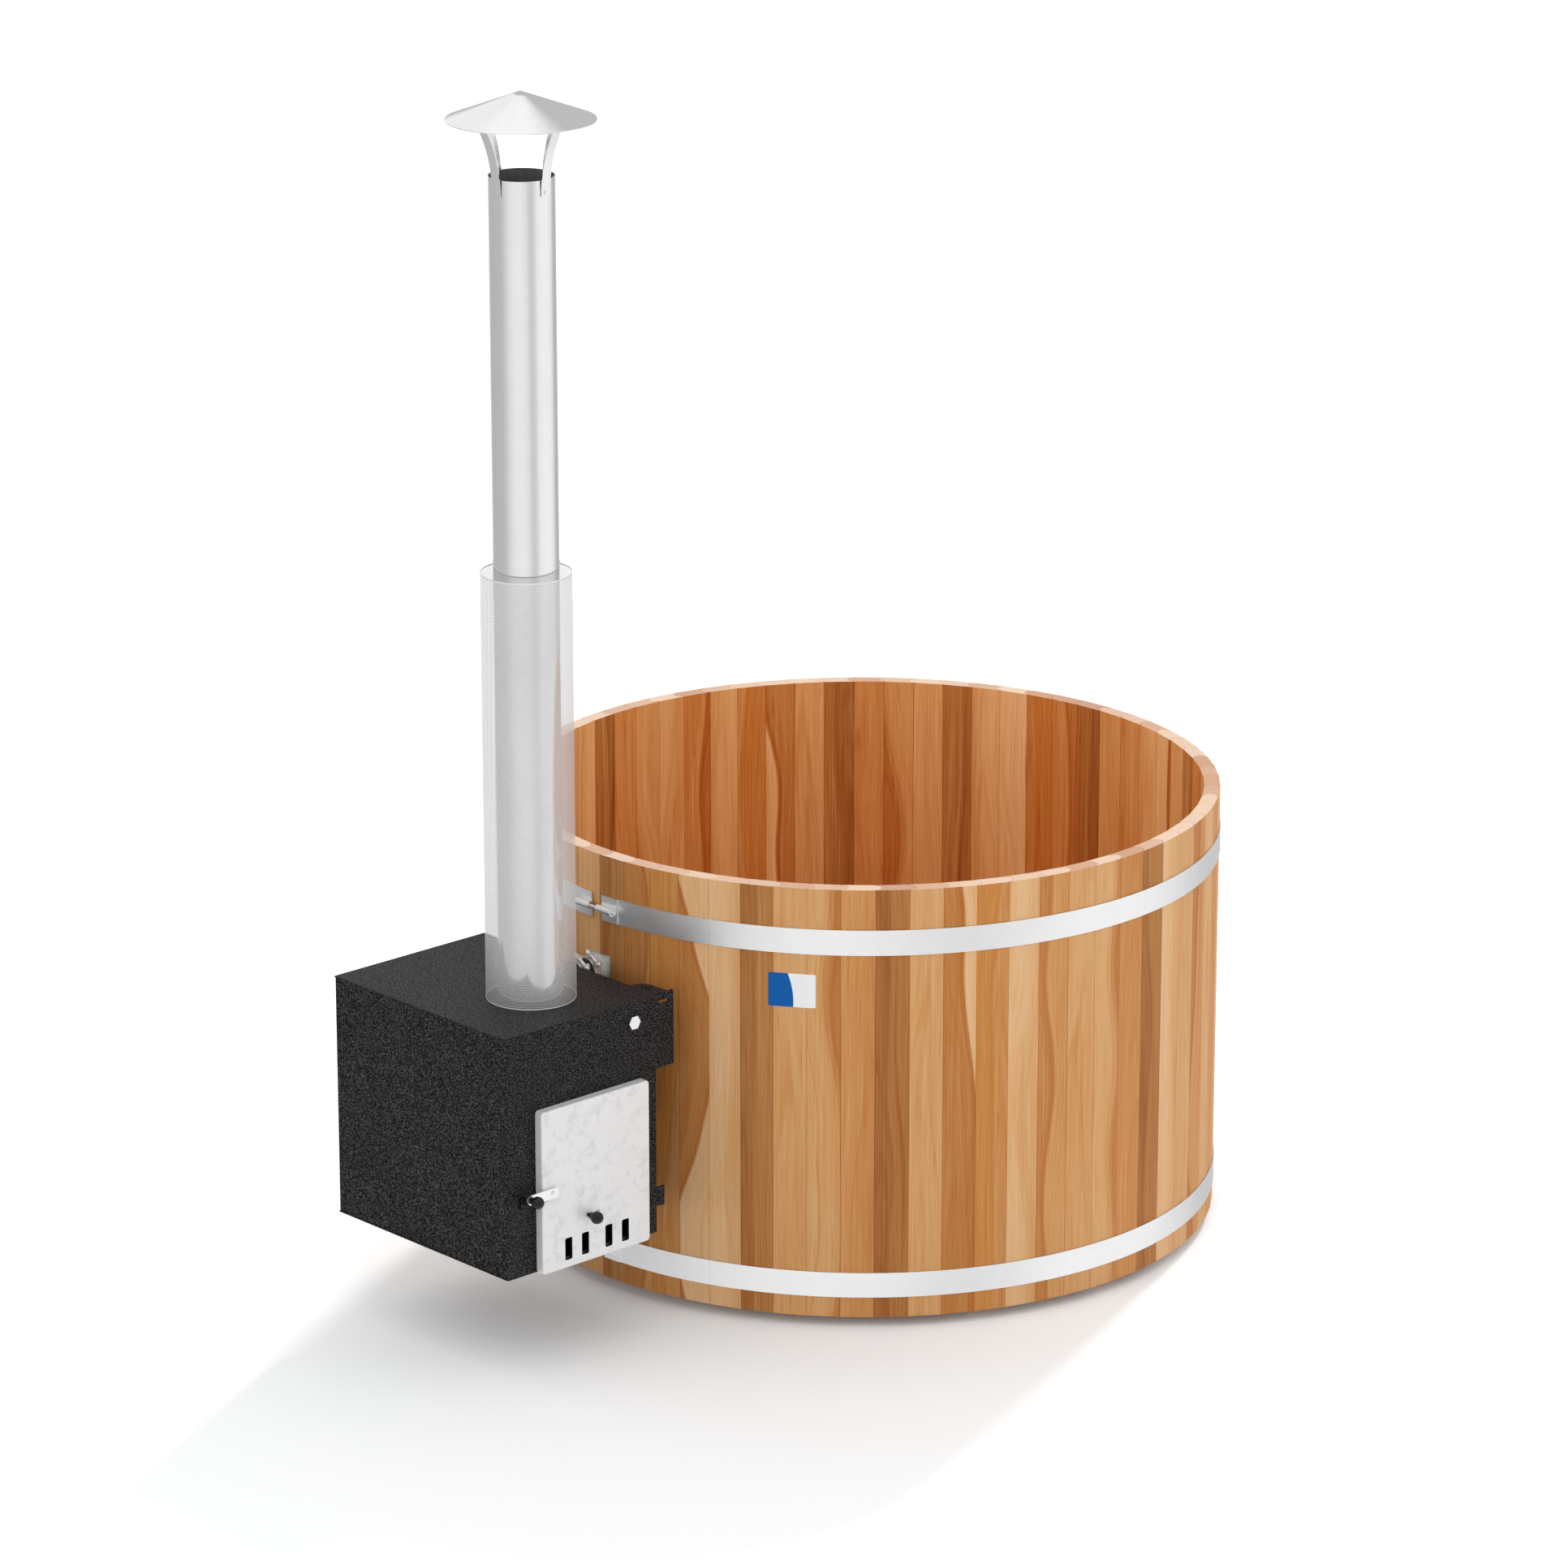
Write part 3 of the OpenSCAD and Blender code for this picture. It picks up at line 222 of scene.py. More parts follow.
class Paint(Graph):
    """A material with one Principled shader."""

    def __init__(self, name, rough=0.5, metal=0.0, specular=0.5):
        self.mat = bpy.data.materials.new(name)
        self.mat.use_nodes = True
        super().__init__(self.mat.node_tree)
        self.shader = self.tree.nodes["Principled BSDF"]
        self.set("Roughness", rough)
        self.set("Metallic", metal)
        self.set("Specular IOR Level", specular)
        where = self.node("TexCoord")
        self.place = Val(self, where.outputs["Object"])
        self.facing = Val(self, where.outputs["Normal"])

    def set(self, name, value):
        self.feed(self.shader.inputs[name], value)

    def now(self, name):
        """What the shader's input is fed with so far."""
        return Val(self, self.shader.inputs[name].links[0].from_socket)

    def bump(self, height, depth, strength=0.5):
        made = self.node("Bump")
        made.inputs["Strength"].default_value = strength
        made.inputs["Distance"].default_value = depth
        self.feed(made.inputs["Height"], height)
        self.set("Normal", Val(self, made.outputs[0]))

    def place_scaled(self, scale):
        """The object's own coordinates times a number."""
        made = self.node("VectorMath", self.place, (scale,) * 3, operation="MULTIPLY")
        return Val(self, made.outputs[0])

    def polar(self, cx=0.0, cy=0.0):
        """x, y, z, and the radius and turn in degrees about an upright axis."""
        x, y, z = self.parts(self.place)
        dx, dy = (x - cx, y - cy) if cx or cy else (x, y)
        r = self.math("SQRT", dx * dx + dy * dy)
        return x, y, z, r, self.math("ARCTAN2", dy, dx) * (180 / math.pi)


# ---------------------------------------------------------------- wood

TAN = srgb(206, 147, 89)
DARK = srgb(180, 122, 68)
DEEP = srgb(168, 109, 58)
LIGHT = srgb(214, 163, 110)
SAP = srgb(224, 179, 130)
HEART = srgb(190, 126, 68)
WARM = srgb(201, 140, 82)
AMBER = srgb(200, 134, 70)

# each kind of stave: colour on its left, colour on its right, then where the two meet across
# the stave, the side of the log's centre (0 left, 1 right) and how far the meeting line wanders
KINDS = {
    "T": (TAN, WARM, (0.45, 0.70, 0.30)),
    "D": (DEEP, DARK, (0.40, 0.15, 0.25)),
    "L": (LIGHT, LIGHT, (0.50, 0.45, 0.30)),
    "B": (LIGHT, HEART, (0.62, 0.95, 0.62)),
    "F": (HEART, SAP, (0.52, 0.05, 1.00)),
    "S": (SAP, LIGHT, (0.60, 0.50, 0.25)),
    "H": (HEART, TAN, (0.40, 0.10, 0.55)),
    "W": (AMBER, WARM, (0.70, 0.80, 0.40)),
}
# the kinds in turn round the tub, one row after the other
ORDERS = ("DHWFSDLBTDLFWSHLB", "TDSLHLTSLBTDLFSTL")

FLOOR_TONES = [srgb(184, 132, 86), srgb(210, 166, 120), srgb(170, 114, 70)]
BENCH_TONES = [srgb(196, 140, 88), srgb(212, 164, 118), srgb(170, 112, 66), srgb(206, 152, 102)]
RUNNER_TONES = [srgb(190, 146, 100), srgb(174, 128, 84)]


def log_ring(g, u, v, seed, side, wobble):
    """Distance from the log's centre line, and how far that line has bent at this place."""
    bend = g.swing(g.vec(seed * 83, v * 2.3, seed * 7), 0) * wobble * 0.085
    ripple = g.swing(g.vec(seed * 29, v * 5, u * 12), 1) * 0.0022
    across = u - (side * 1.5 - 0.25) * STAVE_W - bend - ripple
    depth = (seed * 0.045 + 0.008) + v * 0.022
    return g.math("SQRT", across * across + depth * depth), bend + ripple


def grain(g, u, v, w, seed, ring):
    """How much the grain deepens the wood, and its height: u across, v along, w into the board."""
    shift = seed * 61
    rings = g.math("SINE", ring * 1150 + g.noise(g.vec(u * 40, v * 1.6, shift), 1) * 12)
    broad = g.swing(g.vec(ring * 85, v * 0.7, shift + w * 60), 3, 0.55)
    streak = g.step(g.noise(g.vec(ring * 150, v * 1.1, shift + 17), 1), 0.60, 0.78)
    fine = g.swing(g.vec(u * 360, v * 3, shift + w * 300), 3, 0.75)
    drift = g.swing(g.vec(u * 9, v * 1.7, shift + 9), 1)
    fleck = g.step(g.noise(g.vec(u * 240, v * 9, shift + 4), 1), 0.64, 0.80)
    late = g.step(rings, 0.1, 1.0)
    total = (late * 0.06 + broad * 0.15 + streak * 0.17 + fine * 0.28 + drift * 0.07
             + fleck * 0.22)
    return total, rings * 0.3 + fine


def cedar():
    """The tub wall: each stave has its kind, its own grain, its joint line and its end grain."""
    g = Paint("cedar_wood", specular=0.14)
    x, y, z, r, turn = g.polar()

    # number of the stave and place across it; the bead belongs to the stave before
    t = (turn - PHASE) / PITCH
    k = g.math("FLOOR", t)
    u = (t - k) * STAVE_W
    off = r - BEAD_RING
    reach = g.math("SQRT", u * u + off * off)
    in_bead = g.math("LESS_THAN", reach, BEAD_R)
    k = g.math("FLOORED_MODULO", k - in_bead, float(STAVES))
    u = u + in_bead * STAVE_W
    seed = g.chance(k + 0.37)

    # its kind, from two rows that follow each other
    run = len(ORDERS[0])
    slot = (g.math("FLOORED_MODULO", k, float(run)) + 0.5) / run
    second = g.math("FLOORED_MODULO", g.math("FLOOR", k / run), 2.0)

    def lane(pick):
        rows = [g.ramp(slot, [(i / run, pick(KINDS[c])) for i, c in enumerate(order)], "CONSTANT")
                for order in ORDERS]
        return g.blend(*rows, second)

    left, right = lane(lambda c: c[0]), lane(lambda c: c[1])
    where, side, wobble = g.parts(lane(lambda c: (*c[2], 1)))
    ring, bend = log_ring(g, u, z, seed, side, wobble)
    edge = u - where * STAVE_W - bend
    change = g.step(edge, -0.0012, 0.0028) * 0.62 + g.step(edge, -0.006, 0.018) * 0.38
    wood = g.blend(left, right, change)

    # faces: grain, the heartwood's edge, a pale band beside it that is a painted highlight, and the
    # joint line; the inner faces are deepened and reddened as painted shade and painted warm bounce
    # light
    deepen, height = grain(g, u, z, r, seed, ring)
    rim_of_heart = g.near(edge + 0.003, 0.0, 0.009) * wobble * 0.16
    # the pale band beside the heartwood's edge is a painted highlight
    painted_highlight_band = g.near(edge - 0.006, 0.0, 0.008) * wobble * 0.13
    joint = g.math("MINIMUM", u, STAVE_W - u)
    line = 1 - g.step(joint, 0.0003, 0.0015)
    shown = g.step(g.noise(g.vec(k * 7.3, z * 1.4), 1), 0.30, 0.62)
    deepen = (deepen + rim_of_heart - painted_highlight_band + line * (shown * 0.32 + 0.10)
              + (seed - 0.5) * 0.12)
    # painted shade and warm bounce light: the inner faces are darker and redder
    inside_shade = 1 - g.step(r, 0.768, 0.778)
    side_wood = g.deepen(wood, deepen * (inside_shade * 0.45 + 1))
    side_wood = g.blend(side_wood, (1.18, 1.08, 0.91, 1), inside_shade, "MULTIPLY")

    # end grain: curved growth rings and the round edge joints
    ex = u - 0.037 + (seed - 0.5) * 0.05
    ey = r - 0.79 + 0.10 + seed * 0.2
    waver = g.noise(g.vec(x * 60, y * 60, z), 1) * 5
    ripple = g.math("SINE", g.math("SQRT", ex * ex + ey * ey) * 1900 + waver)
    pores = g.swing(g.place_scaled(900), 2, 0.7)
    arc = g.near(reach, BEAD_R, 0.0013) * g.step(u, 0.0, 0.0004) * (1 - in_bead)
    straight = line * g.math("GREATER_THAN", g.math("ABSOLUTE", off), BEAD_R)
    cut = g.blend(srgb(224, 199, 178), srgb(196, 156, 131), g.step(seed, 0.30, 0.90))
    cut = g.blend(cut, wood, 0.14)
    cut = g.deepen(cut, ripple * 0.05 + pores * 0.05 + g.clamp(arc + straight) * 0.9)
    up = g.parts(g.facing)[2]
    is_end = g.step(g.math("ABSOLUTE", up), 0.6, 0.8)

    g.set("Base Color", g.blend(side_wood, cut, is_end))
    wear = g.swing(g.vec(u * 200, z * 8, seed * 20), 2)
    g.set("Roughness", 0.50 + wear * 0.06 + is_end * 0.15)
    g.bump(height - line * 4, 0.0002)
    return g.mat


def board_wood(name, frame_of, palette, rough=0.58, stain=0.0, width=None):
    """Sawn boards. frame_of gives u across, v along, w through, the board's number and how far
    a face is an end. Boards that meet edge to edge show their joints where width is given."""
    g = Paint(name, specular=0.28)
    x, y, z, r, turn = g.polar()
    u, v, w, number, end = frame_of(g, x, y, z, r, turn)
    seed = g.chance(number * 1.37 + 0.11)
    tone = g.chance(number * 2.71 + 5.3)
    wood = g.ramp(tone, [(i / (len(palette) - 1), c) for i, c in enumerate(palette)])
    ring = log_ring(g, u, v, seed, g.chance(number + 0.5), 0.6)[0]
    deepen, height = grain(g, u, v, w, seed, ring)
    if width:
        joint = g.math("MINIMUM", u, width - u)
        deepen = deepen + (1 - g.step(joint, 0.0005, 0.0022)) * 0.7
    wear = g.noise(g.vec(x * 3, y * 3, z * 3), 3)
    side = g.deepen(wood, deepen + (seed - 0.5) * 0.2 + wear * stain)
    ripple = g.math("SINE", g.math("SQRT", u * u + (w + 0.06) * (w + 0.06)) * 1900)
    pores = g.swing(g.place_scaled(800), 2, 0.7)
    cut = g.deepen(g.blend(wood, srgb(224, 190, 160), 0.45), ripple * 0.08 + pores * 0.08 + 0.1)
    g.set("Base Color", g.blend(side, cut, g.step(end, 0.6, 0.8)))
    g.set("Roughness", rough + g.swing(g.vec(u * 160, v * 6, seed * 9), 2) * 0.07)
    g.bump(height, 0.00025, 0.55)
    return g.mat


def floor_frame(g, x, y, z, r, turn):
    row = (y - FLOOR_EDGE) / BOARD_W
    n = g.math("FLOOR", row)
    return (row - n) * BOARD_W, x, z, n, g.math("ABSOLUTE", g.parts(g.facing)[0])


def runner_frame(g, x, y, z, r, turn):
    n = g.math("FLOOR", (x + RUNNER_STEP / 2) / RUNNER_STEP)
    return x - n * RUNNER_STEP, y, z, n + 20, g.math("ABSOLUTE", g.parts(g.facing)[1])


def bench_frame(g, x, y, z, r, turn):
    sector = g.math("ROUND", turn / BENCH_SIDE)
    a = (turn - sector * BENCH_SIDE) * (math.pi / 180)
    along = r * g.math("SINE", a)
    out = r * g.math("COSINE", a)
    row = (out - BENCH_IN) / SLAT_STEP
    n = g.math("FLOOR", row)
    return (row - n) * SLAT_STEP, along, z, n + sector * 7 + 40, 0.0


# ---------------------------------------------------------------- metal, paint, plastic

def steel(name, tone, rough, marks, run="all", metal=1.0):
    """Steel with faint clouds and fine marks that run upright, round the tub or all ways."""
    g = Paint(name, metal=metal)
    x, y, z, r, turn = g.polar()
    if run == "up":
        lines = g.vec(x * 1500, y * 1500, z * 12)
    elif run == "round":
        lines = g.vec(turn * 0.25, z * 2600, r * 40)
    else:
        lines = g.place_scaled(700)
    brush = g.swing(lines, 3, 0.7)
    cloud = g.swing(g.place_scaled(7), 3, 0.6)
    smear = g.swing(g.place_scaled(45), 2, 0.6)
    g.set("Base Color", g.ramp(cloud * 0.2 + smear * 0.1 + brush * 0.1 + 0.5,
                               [(0.2, srgb(*[max(0, c - 12) for c in tone])), (0.8, srgb(*tone))]))
    g.set("Roughness", g.clamp(rough + brush * marks + cloud * marks * 0.8 + smear * marks * 0.4))
    g.bump(brush + smear * 0.6, 0.00002)
    return g


def flue_sheet():
    """Bright sheet outside, and smoked, uneven metal inside the pipe."""
    g = steel("flue_sheet", (243, 243, 244), 0.09, 0.02, "up")
    x, y, z, r, turn = g.polar(*FLUE)
    inside = 1 - g.step(r, PIPE_BORE - 0.0004, PIPE_BORE + 0.0004)
    inside = inside * (1 - g.step(z, PIPE_TOP - 0.001, PIPE_TOP + 0.001))
    smoke = g.swing(g.vec(x * 30, y * 30, z * 5), 4, 0.65)
    speck = g.swing(g.place_scaled(500), 2)
    sooted = g.ramp(smoke * 0.3 + speck * 0.2 + 0.5,
                    [(0.1, srgb(70, 70, 72)), (0.9, srgb(140, 140, 142))])
    g.set("Base Color", g.blend(g.now("Base Color"), sooted, inside))
    g.set("Metallic", 1 - inside * 0.8)
    g.set("Roughness", g.now("Roughness") + inside * 0.5)
    return g.mat


def hoop():
    """Band steel, with the wood's tint where the band's ends are joined."""
    g = steel("hoop_band", (250, 250, 250), 0.40, 0.03, "round")
    turn = g.polar()[4]
    seam = g.near((turn - HOOP_SEAM) * (TUB_R * math.pi / 180), 0.0, 0.0016)
    g.set("Base Color", g.blend(g.now("Base Color"), srgb(226, 190, 160), seam * 0.3))
    return g.mat


def hammered():
    """Black coat that dried in fine wrinkles; the tips are shinier, and the colour is painted light
    on the tips as painted glints and dark in the hollows as painted shade.
    """
    g = Paint("hammered_paint", specular=0.22)
    tips = g.noise(g.place_scaled(330), 1, 0.5, 0.2)
    coarse = g.swing(g.place_scaled(190), 1)
    dust = g.swing(g.place_scaled(14), 3)
    height = tips * 0.8 + 0.1 + coarse * 0.07 + dust * 0.012
    # painted glints on the tips and painted shade in the hollows
    g.set("Base Color", g.ramp(height, [(0.38, srgb(3, 3, 4)), (0.50, srgb(16, 16, 17)),
                                        (0.60, srgb(52, 52, 54)), (0.70, srgb(80, 80, 82))]))
    g.set("Specular IOR Level", g.step(height, 0.42, 0.62) * 0.34 + 0.06)
    g.set("Roughness", 0.46 + dust * 0.04)
    g.bump(height, 0.0014, 0.8)
    return g.mat


def cast_aluminium():
    """Sand-cast skin with grey blotches, and dark metal behind the face: soot on the fire side, and
    the same dark colour on the slot walls, but for the strip round the slide's stem."""
    g = Paint("cast_aluminium", metal=0.2)
    x, y, z = g.parts(g.place)
    cloud = g.swing(g.place_scaled(24), 4, 0.62)
    blotch = g.step(g.noise(g.place_scaled(34), 5, 0.72, 0.5), 0.50, 0.64)
    speck = g.swing(g.place_scaled(420), 3, 0.7)
    pit = g.step(g.cells(g.place_scaled(150)), 0.03, 0.16)
    colour = g.ramp(cloud * 0.16 + speck * 0.08 + 0.62,
                    [(0.15, srgb(206, 207, 210)), (0.5, srgb(232, 233, 234)), (0.85, srgb(244))])
    colour = g.deepen(colour, (1 - pit) * 0.5 + blotch * 0.75)
    behind = g.step(y, DOOR_FACE + 0.0003, DOOR_FACE + 0.0012)
    within = g.window(x, *DOOR_IN_X) * g.window(z, *DOOR_IN_Z)
    strip = g.window(z, STEM_Z - 0.010, STEM_Z + 0.010)
    # dark colour on all faces behind the door's face, slot walls included, but for the strip round
    # the stem
    g.set("Base Color", g.blend(colour, srgb(30, 29, 28), behind * within * (1 - strip)))
    g.set("Roughness", 0.42 + cloud * 0.05 + speck * 0.05 + blotch * 0.06)
    g.bump(speck * 0.5 + cloud * 0.3 + pit * 0.8 - blotch * 0.3, 0.00018)
    return g.mat


def slide_plate():
    """Bare sheet, dark below the strip round the slide's stem, where the air passes."""
    g = steel("slide_sheet", (226, 226, 227), 0.42, 0.05, metal=0.2)
    above_air = g.step(g.parts(g.place)[2], STEM_Z - 0.014, STEM_Z - 0.010)
    g.set("Base Color", g.blend(srgb(26, 26, 27), g.now("Base Color"), above_air))
    return g.mat


def dull(name, low, high, rough, scale, metal=0.0, depth=0.0003, specular=0.4):
    """Cast, sooted or moulded surface with an uneven skin."""
    g = Paint(name, metal=metal, specular=specular)
    skin = g.swing(g.place_scaled(scale), 4, 0.65)
    cloud = g.swing(g.place_scaled(scale / 18), 3, 0.6)
    g.set("Base Color", g.ramp(skin * 0.25 + cloud * 0.25 + 0.5,
                               [(0.1, srgb(*low)), (0.9, srgb(*high))]))
    g.set("Roughness", g.clamp(rough + skin * 0.05 + cloud * 0.05))
    g.bump(skin + cloud, depth)
    return g.mat


def rubber():
    g = Paint("hose_epdm", specular=0.35)
    x, y, z = g.parts(g.place)
    knit = g.cells(g.vec(x * 420, y * 620, z * 620))
    dust = g.swing(g.place_scaled(60), 3, 0.6)
    g.set("Base Color", g.ramp(dust * 0.3 + 0.5,
                               [(0.1, srgb(20, 20, 21)), (0.9, srgb(40, 40, 41))]))
    g.set("Roughness", 0.62 + dust * 0.08)
    g.bump(knit, 0.0003, 0.4)
    return g.mat


def rope():
    g = Paint("glass_rope", specular=0.2)
    x, y, z = g.parts(g.place)
    twist = g.math("SINE", (x + z) * 1500) * g.math("SINE", (x - z) * 1500)
    fluff = g.swing(g.place_scaled(900), 3, 0.7)
    g.set("Base Color", g.ramp(twist * 0.3 + fluff * 0.15 + 0.5,
                               [(0.1, srgb(96, 94, 90)), (0.9, srgb(186, 183, 176))]))
    g.set("Roughness", 0.88 + fluff * 0.06)
    g.bump(twist + fluff * 0.4, 0.0007, 0.8)
    return g.mat


def label_print():
    """A bare two-tone field: a blue part with a curved edge, and a pale grey part."""
    g = Paint("label_film", specular=0.15)
    x, y, z, r, turn = g.polar()
    across = turn - LABEL_TURN[0]
    mid = (z - LABEL_MID) / 0.04
    edge = across - 3.85 + mid * mid * 0.35 + mid * 0.45
    haze = g.swing(g.place_scaled(300), 2)
    base = g.blend(srgb(0, 92, 170), srgb(240, 241, 244), g.step(edge, -0.04, 0.04))
    g.set("Base Color", g.deepen(base, haze * 0.02))
    g.set("Roughness", 0.45 + haze * 0.04)
    g.bump(haze, 0.00003, 0.3)
    return g.mat


# ---------------------------------------------------------------- new pieces

def mesh_piece(name, verts, faces, material, smooth=True):
    """A new piece that stays with the tub and the heater."""
    mesh = bpy.data.meshes.new(name)
    mesh.from_pydata(verts, [], faces)
    mesh.update()
    if smooth:
        mesh.shade_smooth()
    mesh.materials.append(material)
    piece = bpy.data.objects.new(name, mesh)
    bpy.context.collection.objects.link(piece)
    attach(piece, "tub_and_heater")
    return piece


def own_corners(verts, faces):
    """Keep only the corners that these faces use."""
    kept = sorted({i for face in faces for i in face})
    place = {old: new for new, old in enumerate(kept)}
    return [verts[i] for i in kept], [tuple(place[i] for i in face) for face in faces]


def guard_sheet(z0, z1, columns):
    """A round sheet with staggered hexagonal holes, given as a lower and an upper half."""
    cx, cy = FLUE
    step = 2 * math.pi / columns
    pitch = step * GUARD_R
    row_h = pitch * math.sqrt(3) / 2
    rows = int((z1 - z0) / row_h)
    rise = (z1 - z0) / (rows + 0.5)
    hole = pitch * HOLE_SHARE
    turns = [math.radians(60 * i + 30) for i in range(6)]
    verts, lower, upper, corners = [], [], [], {}

    def add(angle, z):
        verts.append((cx + GUARD_R * math.cos(angle), cy + GUARD_R * math.sin(angle), z))
        return len(verts) - 1

    def angle_of(row, column):
        return (column + 0.5 * (row % 2)) * step

    for row in range(rows):
        z = z0 + (row + 0.75) * rise
        for column in range(columns):
            a = angle_of(row, column)
            corners[row, column] = [
                add(a + hole * math.cos(t) / GUARD_R, z + hole * math.sin(t) * rise / row_h)
                for t in turns]

    # a hole's corners: 0 upper right, 1 top, 2 upper left, 3 lower left, 4 bottom, 5 lower right
    for row in range(rows):
        odd = row % 2
        faces = lower if row < rows // 2 else upper
        for column in range(columns):
            here, right = corners[row, column], corners[row, (column + 1) % columns]
            faces.append((here[5], right[3], right[2], here[0]))
            if row + 1 < rows:
                upper_right = corners[row + 1, (column + odd) % columns]
                upper_left = corners[row + 1, (column + odd - 1) % columns]
                faces.append((here[1], here[0], upper_right[4], upper_right[3]))
                faces.append((here[2], here[1], upper_left[5], upper_left[4]))
                faces.append((here[0], right[2], upper_right[4]))
                faces.append((here[1], upper_right[3], upper_left[5]))

    # straight edges below the first row and above the last
    for row, edge, faces in ((0, z0, lower), (rows - 1, z1, upper)):
        ends = [add(angle_of(row, column), edge) for column in range(columns)]
        for column in range(columns):
            after = (column + 1) % columns
            here, right = corners[row, column], corners[row, after]
            if faces is lower:
                faces.append((ends[column], ends[after], right[4], right[3], here[5], here[4]))
            else:
                faces.append((here[1], here[0], right[2], right[1], ends[after], ends[column]))
    return [own_corners(verts, half) for half in (lower, upper)]


def guard_band(z0, z1):
    """A plain turned edge of the guard."""
    cx, cy = FLUE
    sides = 96
    verts, faces = [], []
    for z, r in ((z0, GUARD_R), (z1, GUARD_R), (z1, GUARD_R - GUARD_T), (z0, GUARD_R - GUARD_T)):
        for i in range(sides):
            a = 2 * math.pi * i / sides
            verts.append((cx + r * math.cos(a), cy + r * math.sin(a), z))
    for ring in range(4):
        other = (ring + 1) % 4
        for i in range(sides):
            j = (i + 1) % sides
            faces.append((ring * sides + i, ring * sides + j, other * sides + j, other * sides + i))
    return verts, faces


def wall_radius(turn):
    """Distance from the tub's axis to a flat stave face."""
    inside = (turn - PHASE) % PITCH - PITCH / 2
    return TUB_R * math.cos(math.radians(PITCH / 2)) / math.cos(math.radians(inside))


def label_piece(material):
    """A thin printed film that follows the stave faces, with rounded corners."""
    (turn0, turn1), (z0, z1), corner = LABEL_TURN, LABEL_Z, LABEL_CORNER
    wide = (turn1 - turn0) * TUB_R * math.pi / 180
    round_end = [corner * (1 - math.cos(math.radians(9 * i))) for i in range(11)]
    middle = [corner + (wide - 2 * corner) * i / 56 for i in range(1, 56)]
    stops = round_end + middle + [wide - s for s in reversed(round_end)]
    columns = len(stops) - 1
    verts, faces = [], []
    for s in stops:
        near_end = min(s, wide - s)
        cut = 0.0
        if near_end < corner:
            cut = corner - math.sqrt(max(0.0, corner ** 2 - (corner - near_end) ** 2))
        turn = turn0 + (turn1 - turn0) * s / wide
        a = math.radians(turn)
        for lift in (0.0001, 0.0004):
            r = wall_radius(turn) + lift
            for z in (z0 + cut, z1 - cut):
                verts.append((r * math.cos(a), r * math.sin(a), z))
    for i in range(columns):
        a, b = 4 * i, 4 * i + 4
        faces += [(a + 2, b + 2, b + 3, a + 3), (a, a + 1, b + 1, b),
                  (a, b, b + 2, a + 2), (a + 1, a + 3, b + 3, b + 1)]
    faces += [(0, 2, 3, 1), tuple(4 * columns + i for i in (0, 1, 3, 2))]
    mesh_piece("label_plate", verts, faces, material, smooth=False)


# ---------------------------------------------------------------- camera, light and floor

def camera():
    forward = Vector(CAMERA_AIM).normalized()
    right = forward.cross(Vector((0, 0, 1))).normalized()
    up = right.cross(forward)
    data = bpy.data.cameras.new("camera")
    data.sensor_width, data.lens = 36, LENS
    data.clip_start, data.clip_end = 0.1, 200
    shot = bpy.data.objects.new("camera", data)
    turn = Matrix((right, up, -forward)).transposed().to_4x4()
    shot.matrix_world = Matrix.Translation(CAMERA_AT) @ turn
    bpy.context.collection.objects.link(shot)
    bpy.context.scene.camera = shot


def studio():
    """White for the camera, even light on matt surfaces, panels in shiny ones, and one sun."""
    world = bpy.data.worlds.new("studio")
    bpy.context.scene.world = world
    world.use_nodes = True
    world.cycles.sampling_method = "NONE"
    g = Graph(world.node_tree)
    back = world.node_tree.nodes["Background"]
    x, y, z = g.parts(Val(g, g.node("TexCoord").outputs["Generated"]))
    turn = g.math("ARCTAN2", y, x) / (2 * math.pi)
    turn = g.math("FRACT", turn + 1)
    walls = g.ramp(turn, [(a / 360, [min(1.0, c * ROUND_GAIN) for c in srgb(v)[:3]] + [1])
                          for a, v in ROUND])
    top = g.step(g.math("ABSOLUTE", z), 0.66, 0.82)
    seen = g.blend(walls, (OVERHEAD,) * 3 + (1,), top)
    light = g.node("LightPath")
    mirror = Val(g, light.outputs["Is Glossy Ray"])
    view = Val(g, light.outputs["Is Camera Ray"])
    colour = g.blend((DOME,) * 3 + (1,), seen, mirror)
    g.feed(back.inputs["Color"], g.blend(colour, (1, 1, 1, 1), view))
    sun = bpy.data.lights.new("key", "SUN")
    sun.energy, sun.angle = KEY, math.radians(KEY_SPREAD)
    lamp = bpy.data.objects.new("key", sun)
    lamp.rotation_euler = Vector(KEY_FROM).to_track_quat("Z", "Y").to_euler()
    bpy.context.collection.objects.link(lamp)
    lamp.visible_glossy = False


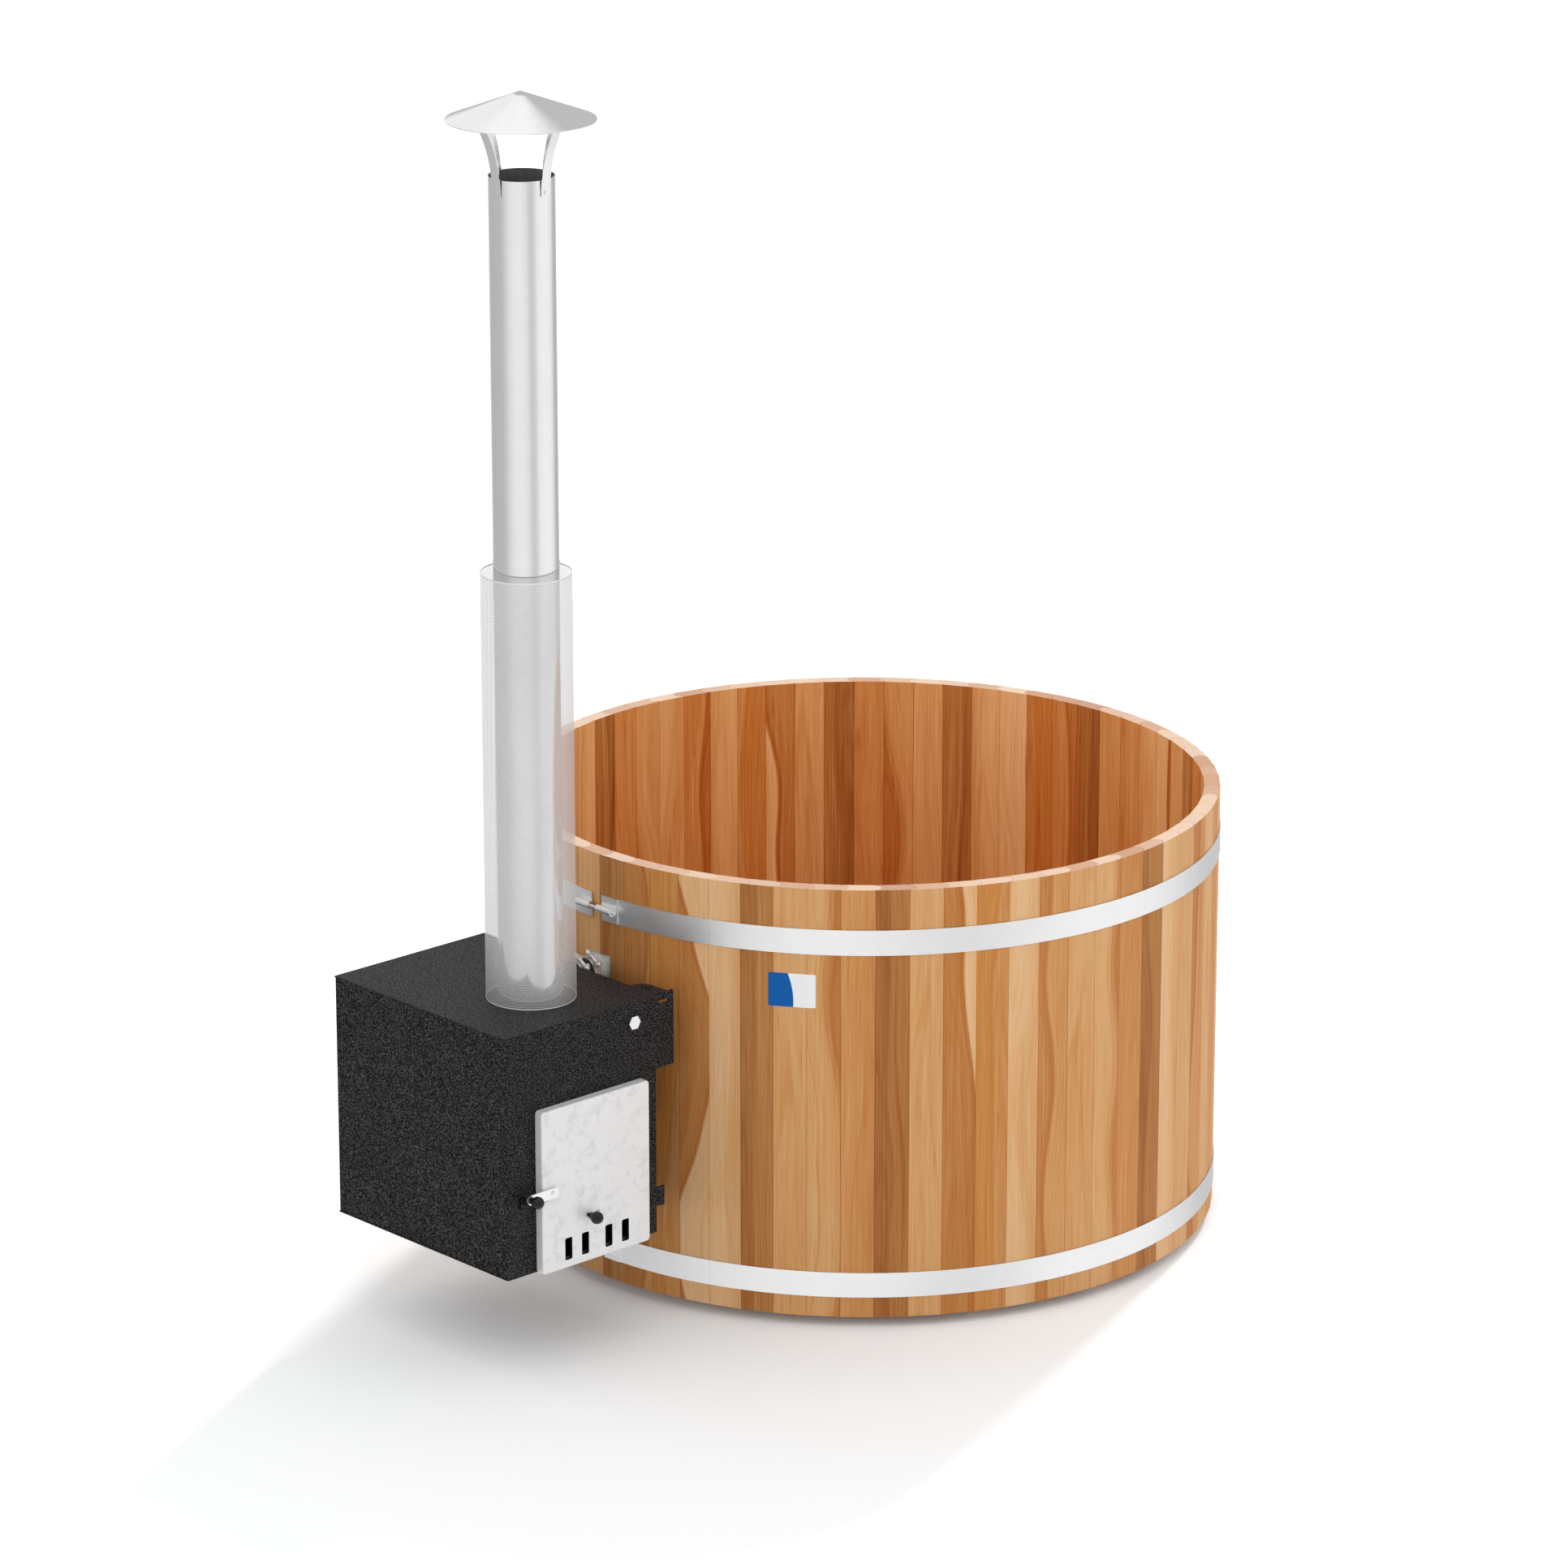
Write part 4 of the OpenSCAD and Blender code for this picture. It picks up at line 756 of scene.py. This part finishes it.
def ground():
    """A pale floor that the camera sees a little lighter than the part does."""
    half = 60
    mesh = bpy.data.meshes.new("studio_floor")
    mesh.from_pydata([(-half, -half, 0), (half, -half, 0), (half, half, 0), (-half, half, 0)],
                     [], [(0, 1, 2, 3)])
    floor = bpy.data.objects.new("studio_floor", mesh)
    bpy.context.collection.objects.link(floor)
    mat = bpy.data.materials.new("studio_floor")
    mat.use_nodes = True
    g = Graph(mat.node_tree)
    for old in list(mat.node_tree.nodes):
        mat.node_tree.nodes.remove(old)
    view = Val(g, g.node("LightPath").outputs["Is Camera Ray"])
    x, y, z = g.parts(Val(g, g.node("TexCoord").outputs["Object"]))
    dust = g.noise(g.vec(x * 8, y * 8, z * 8), 3)
    plain = g.node("BsdfDiffuse", g.ramp(dust, [(0, srgb(228)), (1, srgb(230))]))
    shown = g.node("BsdfDiffuse", (0.974, 0.987, 0.996, 1))
    extra = g.node("Emission", (0.05, 0.05, 0.05, 1))
    both = g.node("AddShader", Val(g, shown.outputs[0]), Val(g, extra.outputs[0]))
    mixed = g.node("MixShader", view, Val(g, plain.outputs[0]), Val(g, both.outputs[0]))
    g.node("OutputMaterial", Val(g, mixed.outputs[0]))
    mesh.materials.append(mat)
    floor.visible_glossy = False


# ---------------------------------------------------------------- dress the part

camera()
studio()
ground()

finish_of = {
    "cedar": cedar(),
    "floor_wood": board_wood("floor_boards_wood", floor_frame, FLOOR_TONES, width=BOARD_W),
    "runner_wood": board_wood("runner_wood", runner_frame, RUNNER_TONES, 0.66, 0.3),
    "bench_wood": board_wood("bench_wood", bench_frame, BENCH_TONES, 0.52),
    "hoop_steel": hoop(),
    "bolt_steel": steel("bolt_steel", (240, 240, 241), 0.16, 0.04).mat,
    "drain_plastic": dull("drain_plastic", (34, 34, 36), (58, 58, 60), 0.42, 260, depth=0.0001),
    "port_metal": steel("port_metal", (220, 223, 220), 0.5, 0.05, metal=0.1).mat,
    "hose_rubber": rubber(),
    "clamp_steel": steel("clamp_steel", (246, 246, 246), 0.2, 0.04, metal=0.55).mat,
    "heater_paint": hammered(),
    "fire_steel": dull("sooted_steel", (16, 15, 14), (46, 42, 38), 0.72, 120, 0.3),
    "grate_iron": dull("grate_iron", (30, 29, 28), (66, 62, 58), 0.66, 260, 0.5, 0.0006),
    "door_aluminium": cast_aluminium(),
    "seal_rope": rope(),
    "slide_steel": dull("slide_steel", (26, 26, 27), (48, 48, 50), 0.45, 200, 0.8),
    "slide_sheet": slide_plate(),
    "latch_steel": steel("latch_steel", (250, 250, 250), 0.30, 0.05).mat,
    "knob_plastic": dull("knob_plastic", (8, 8, 9), (17, 17, 18), 0.22, 300, depth=0.00006,
                         specular=0.35),
    "flue_steel": flue_sheet(),
    "guard_steel": steel("guard_sheet", (238, 238, 239), 0.48, 0.04, "up", metal=0.4).mat,
}

# pieces whose finish isn't that of their slot
OWN_FINISH = {"latch_keeper": "heater_paint", "slide_stem": "knob_plastic",
              "air_slide": "slide_sheet"}

for part in frame["record"]["subparts"]:
    finish = OWN_FINISH.get(part["node"], part["material_slot"])
    for material_slot in frame["nodes"][part["node"]].material_slots:
        material_slot.material = finish_of[finish]

label_piece(label_print())

halves = guard_sheet(GUARD_Z[0] + GUARD_INSET, GUARD_Z[1] - GUARD_INSET, GUARD_COLUMNS)
guard = {
    "guard_mesh_lower": halves[0],
    "guard_mesh_upper": halves[1],
    "guard_edge_base": guard_band(GUARD_Z[0], GUARD_Z[0] + GUARD_EDGE),
    "guard_edge_top": guard_band(GUARD_Z[1] - GUARD_EDGE, GUARD_Z[1]),
}
for name, (verts, faces) in guard.items():
    piece = mesh_piece(name, verts, faces, finish_of["guard_steel"])
    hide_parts("flue_guard")

bpy.context.scene.view_settings.view_transform = "Standard"
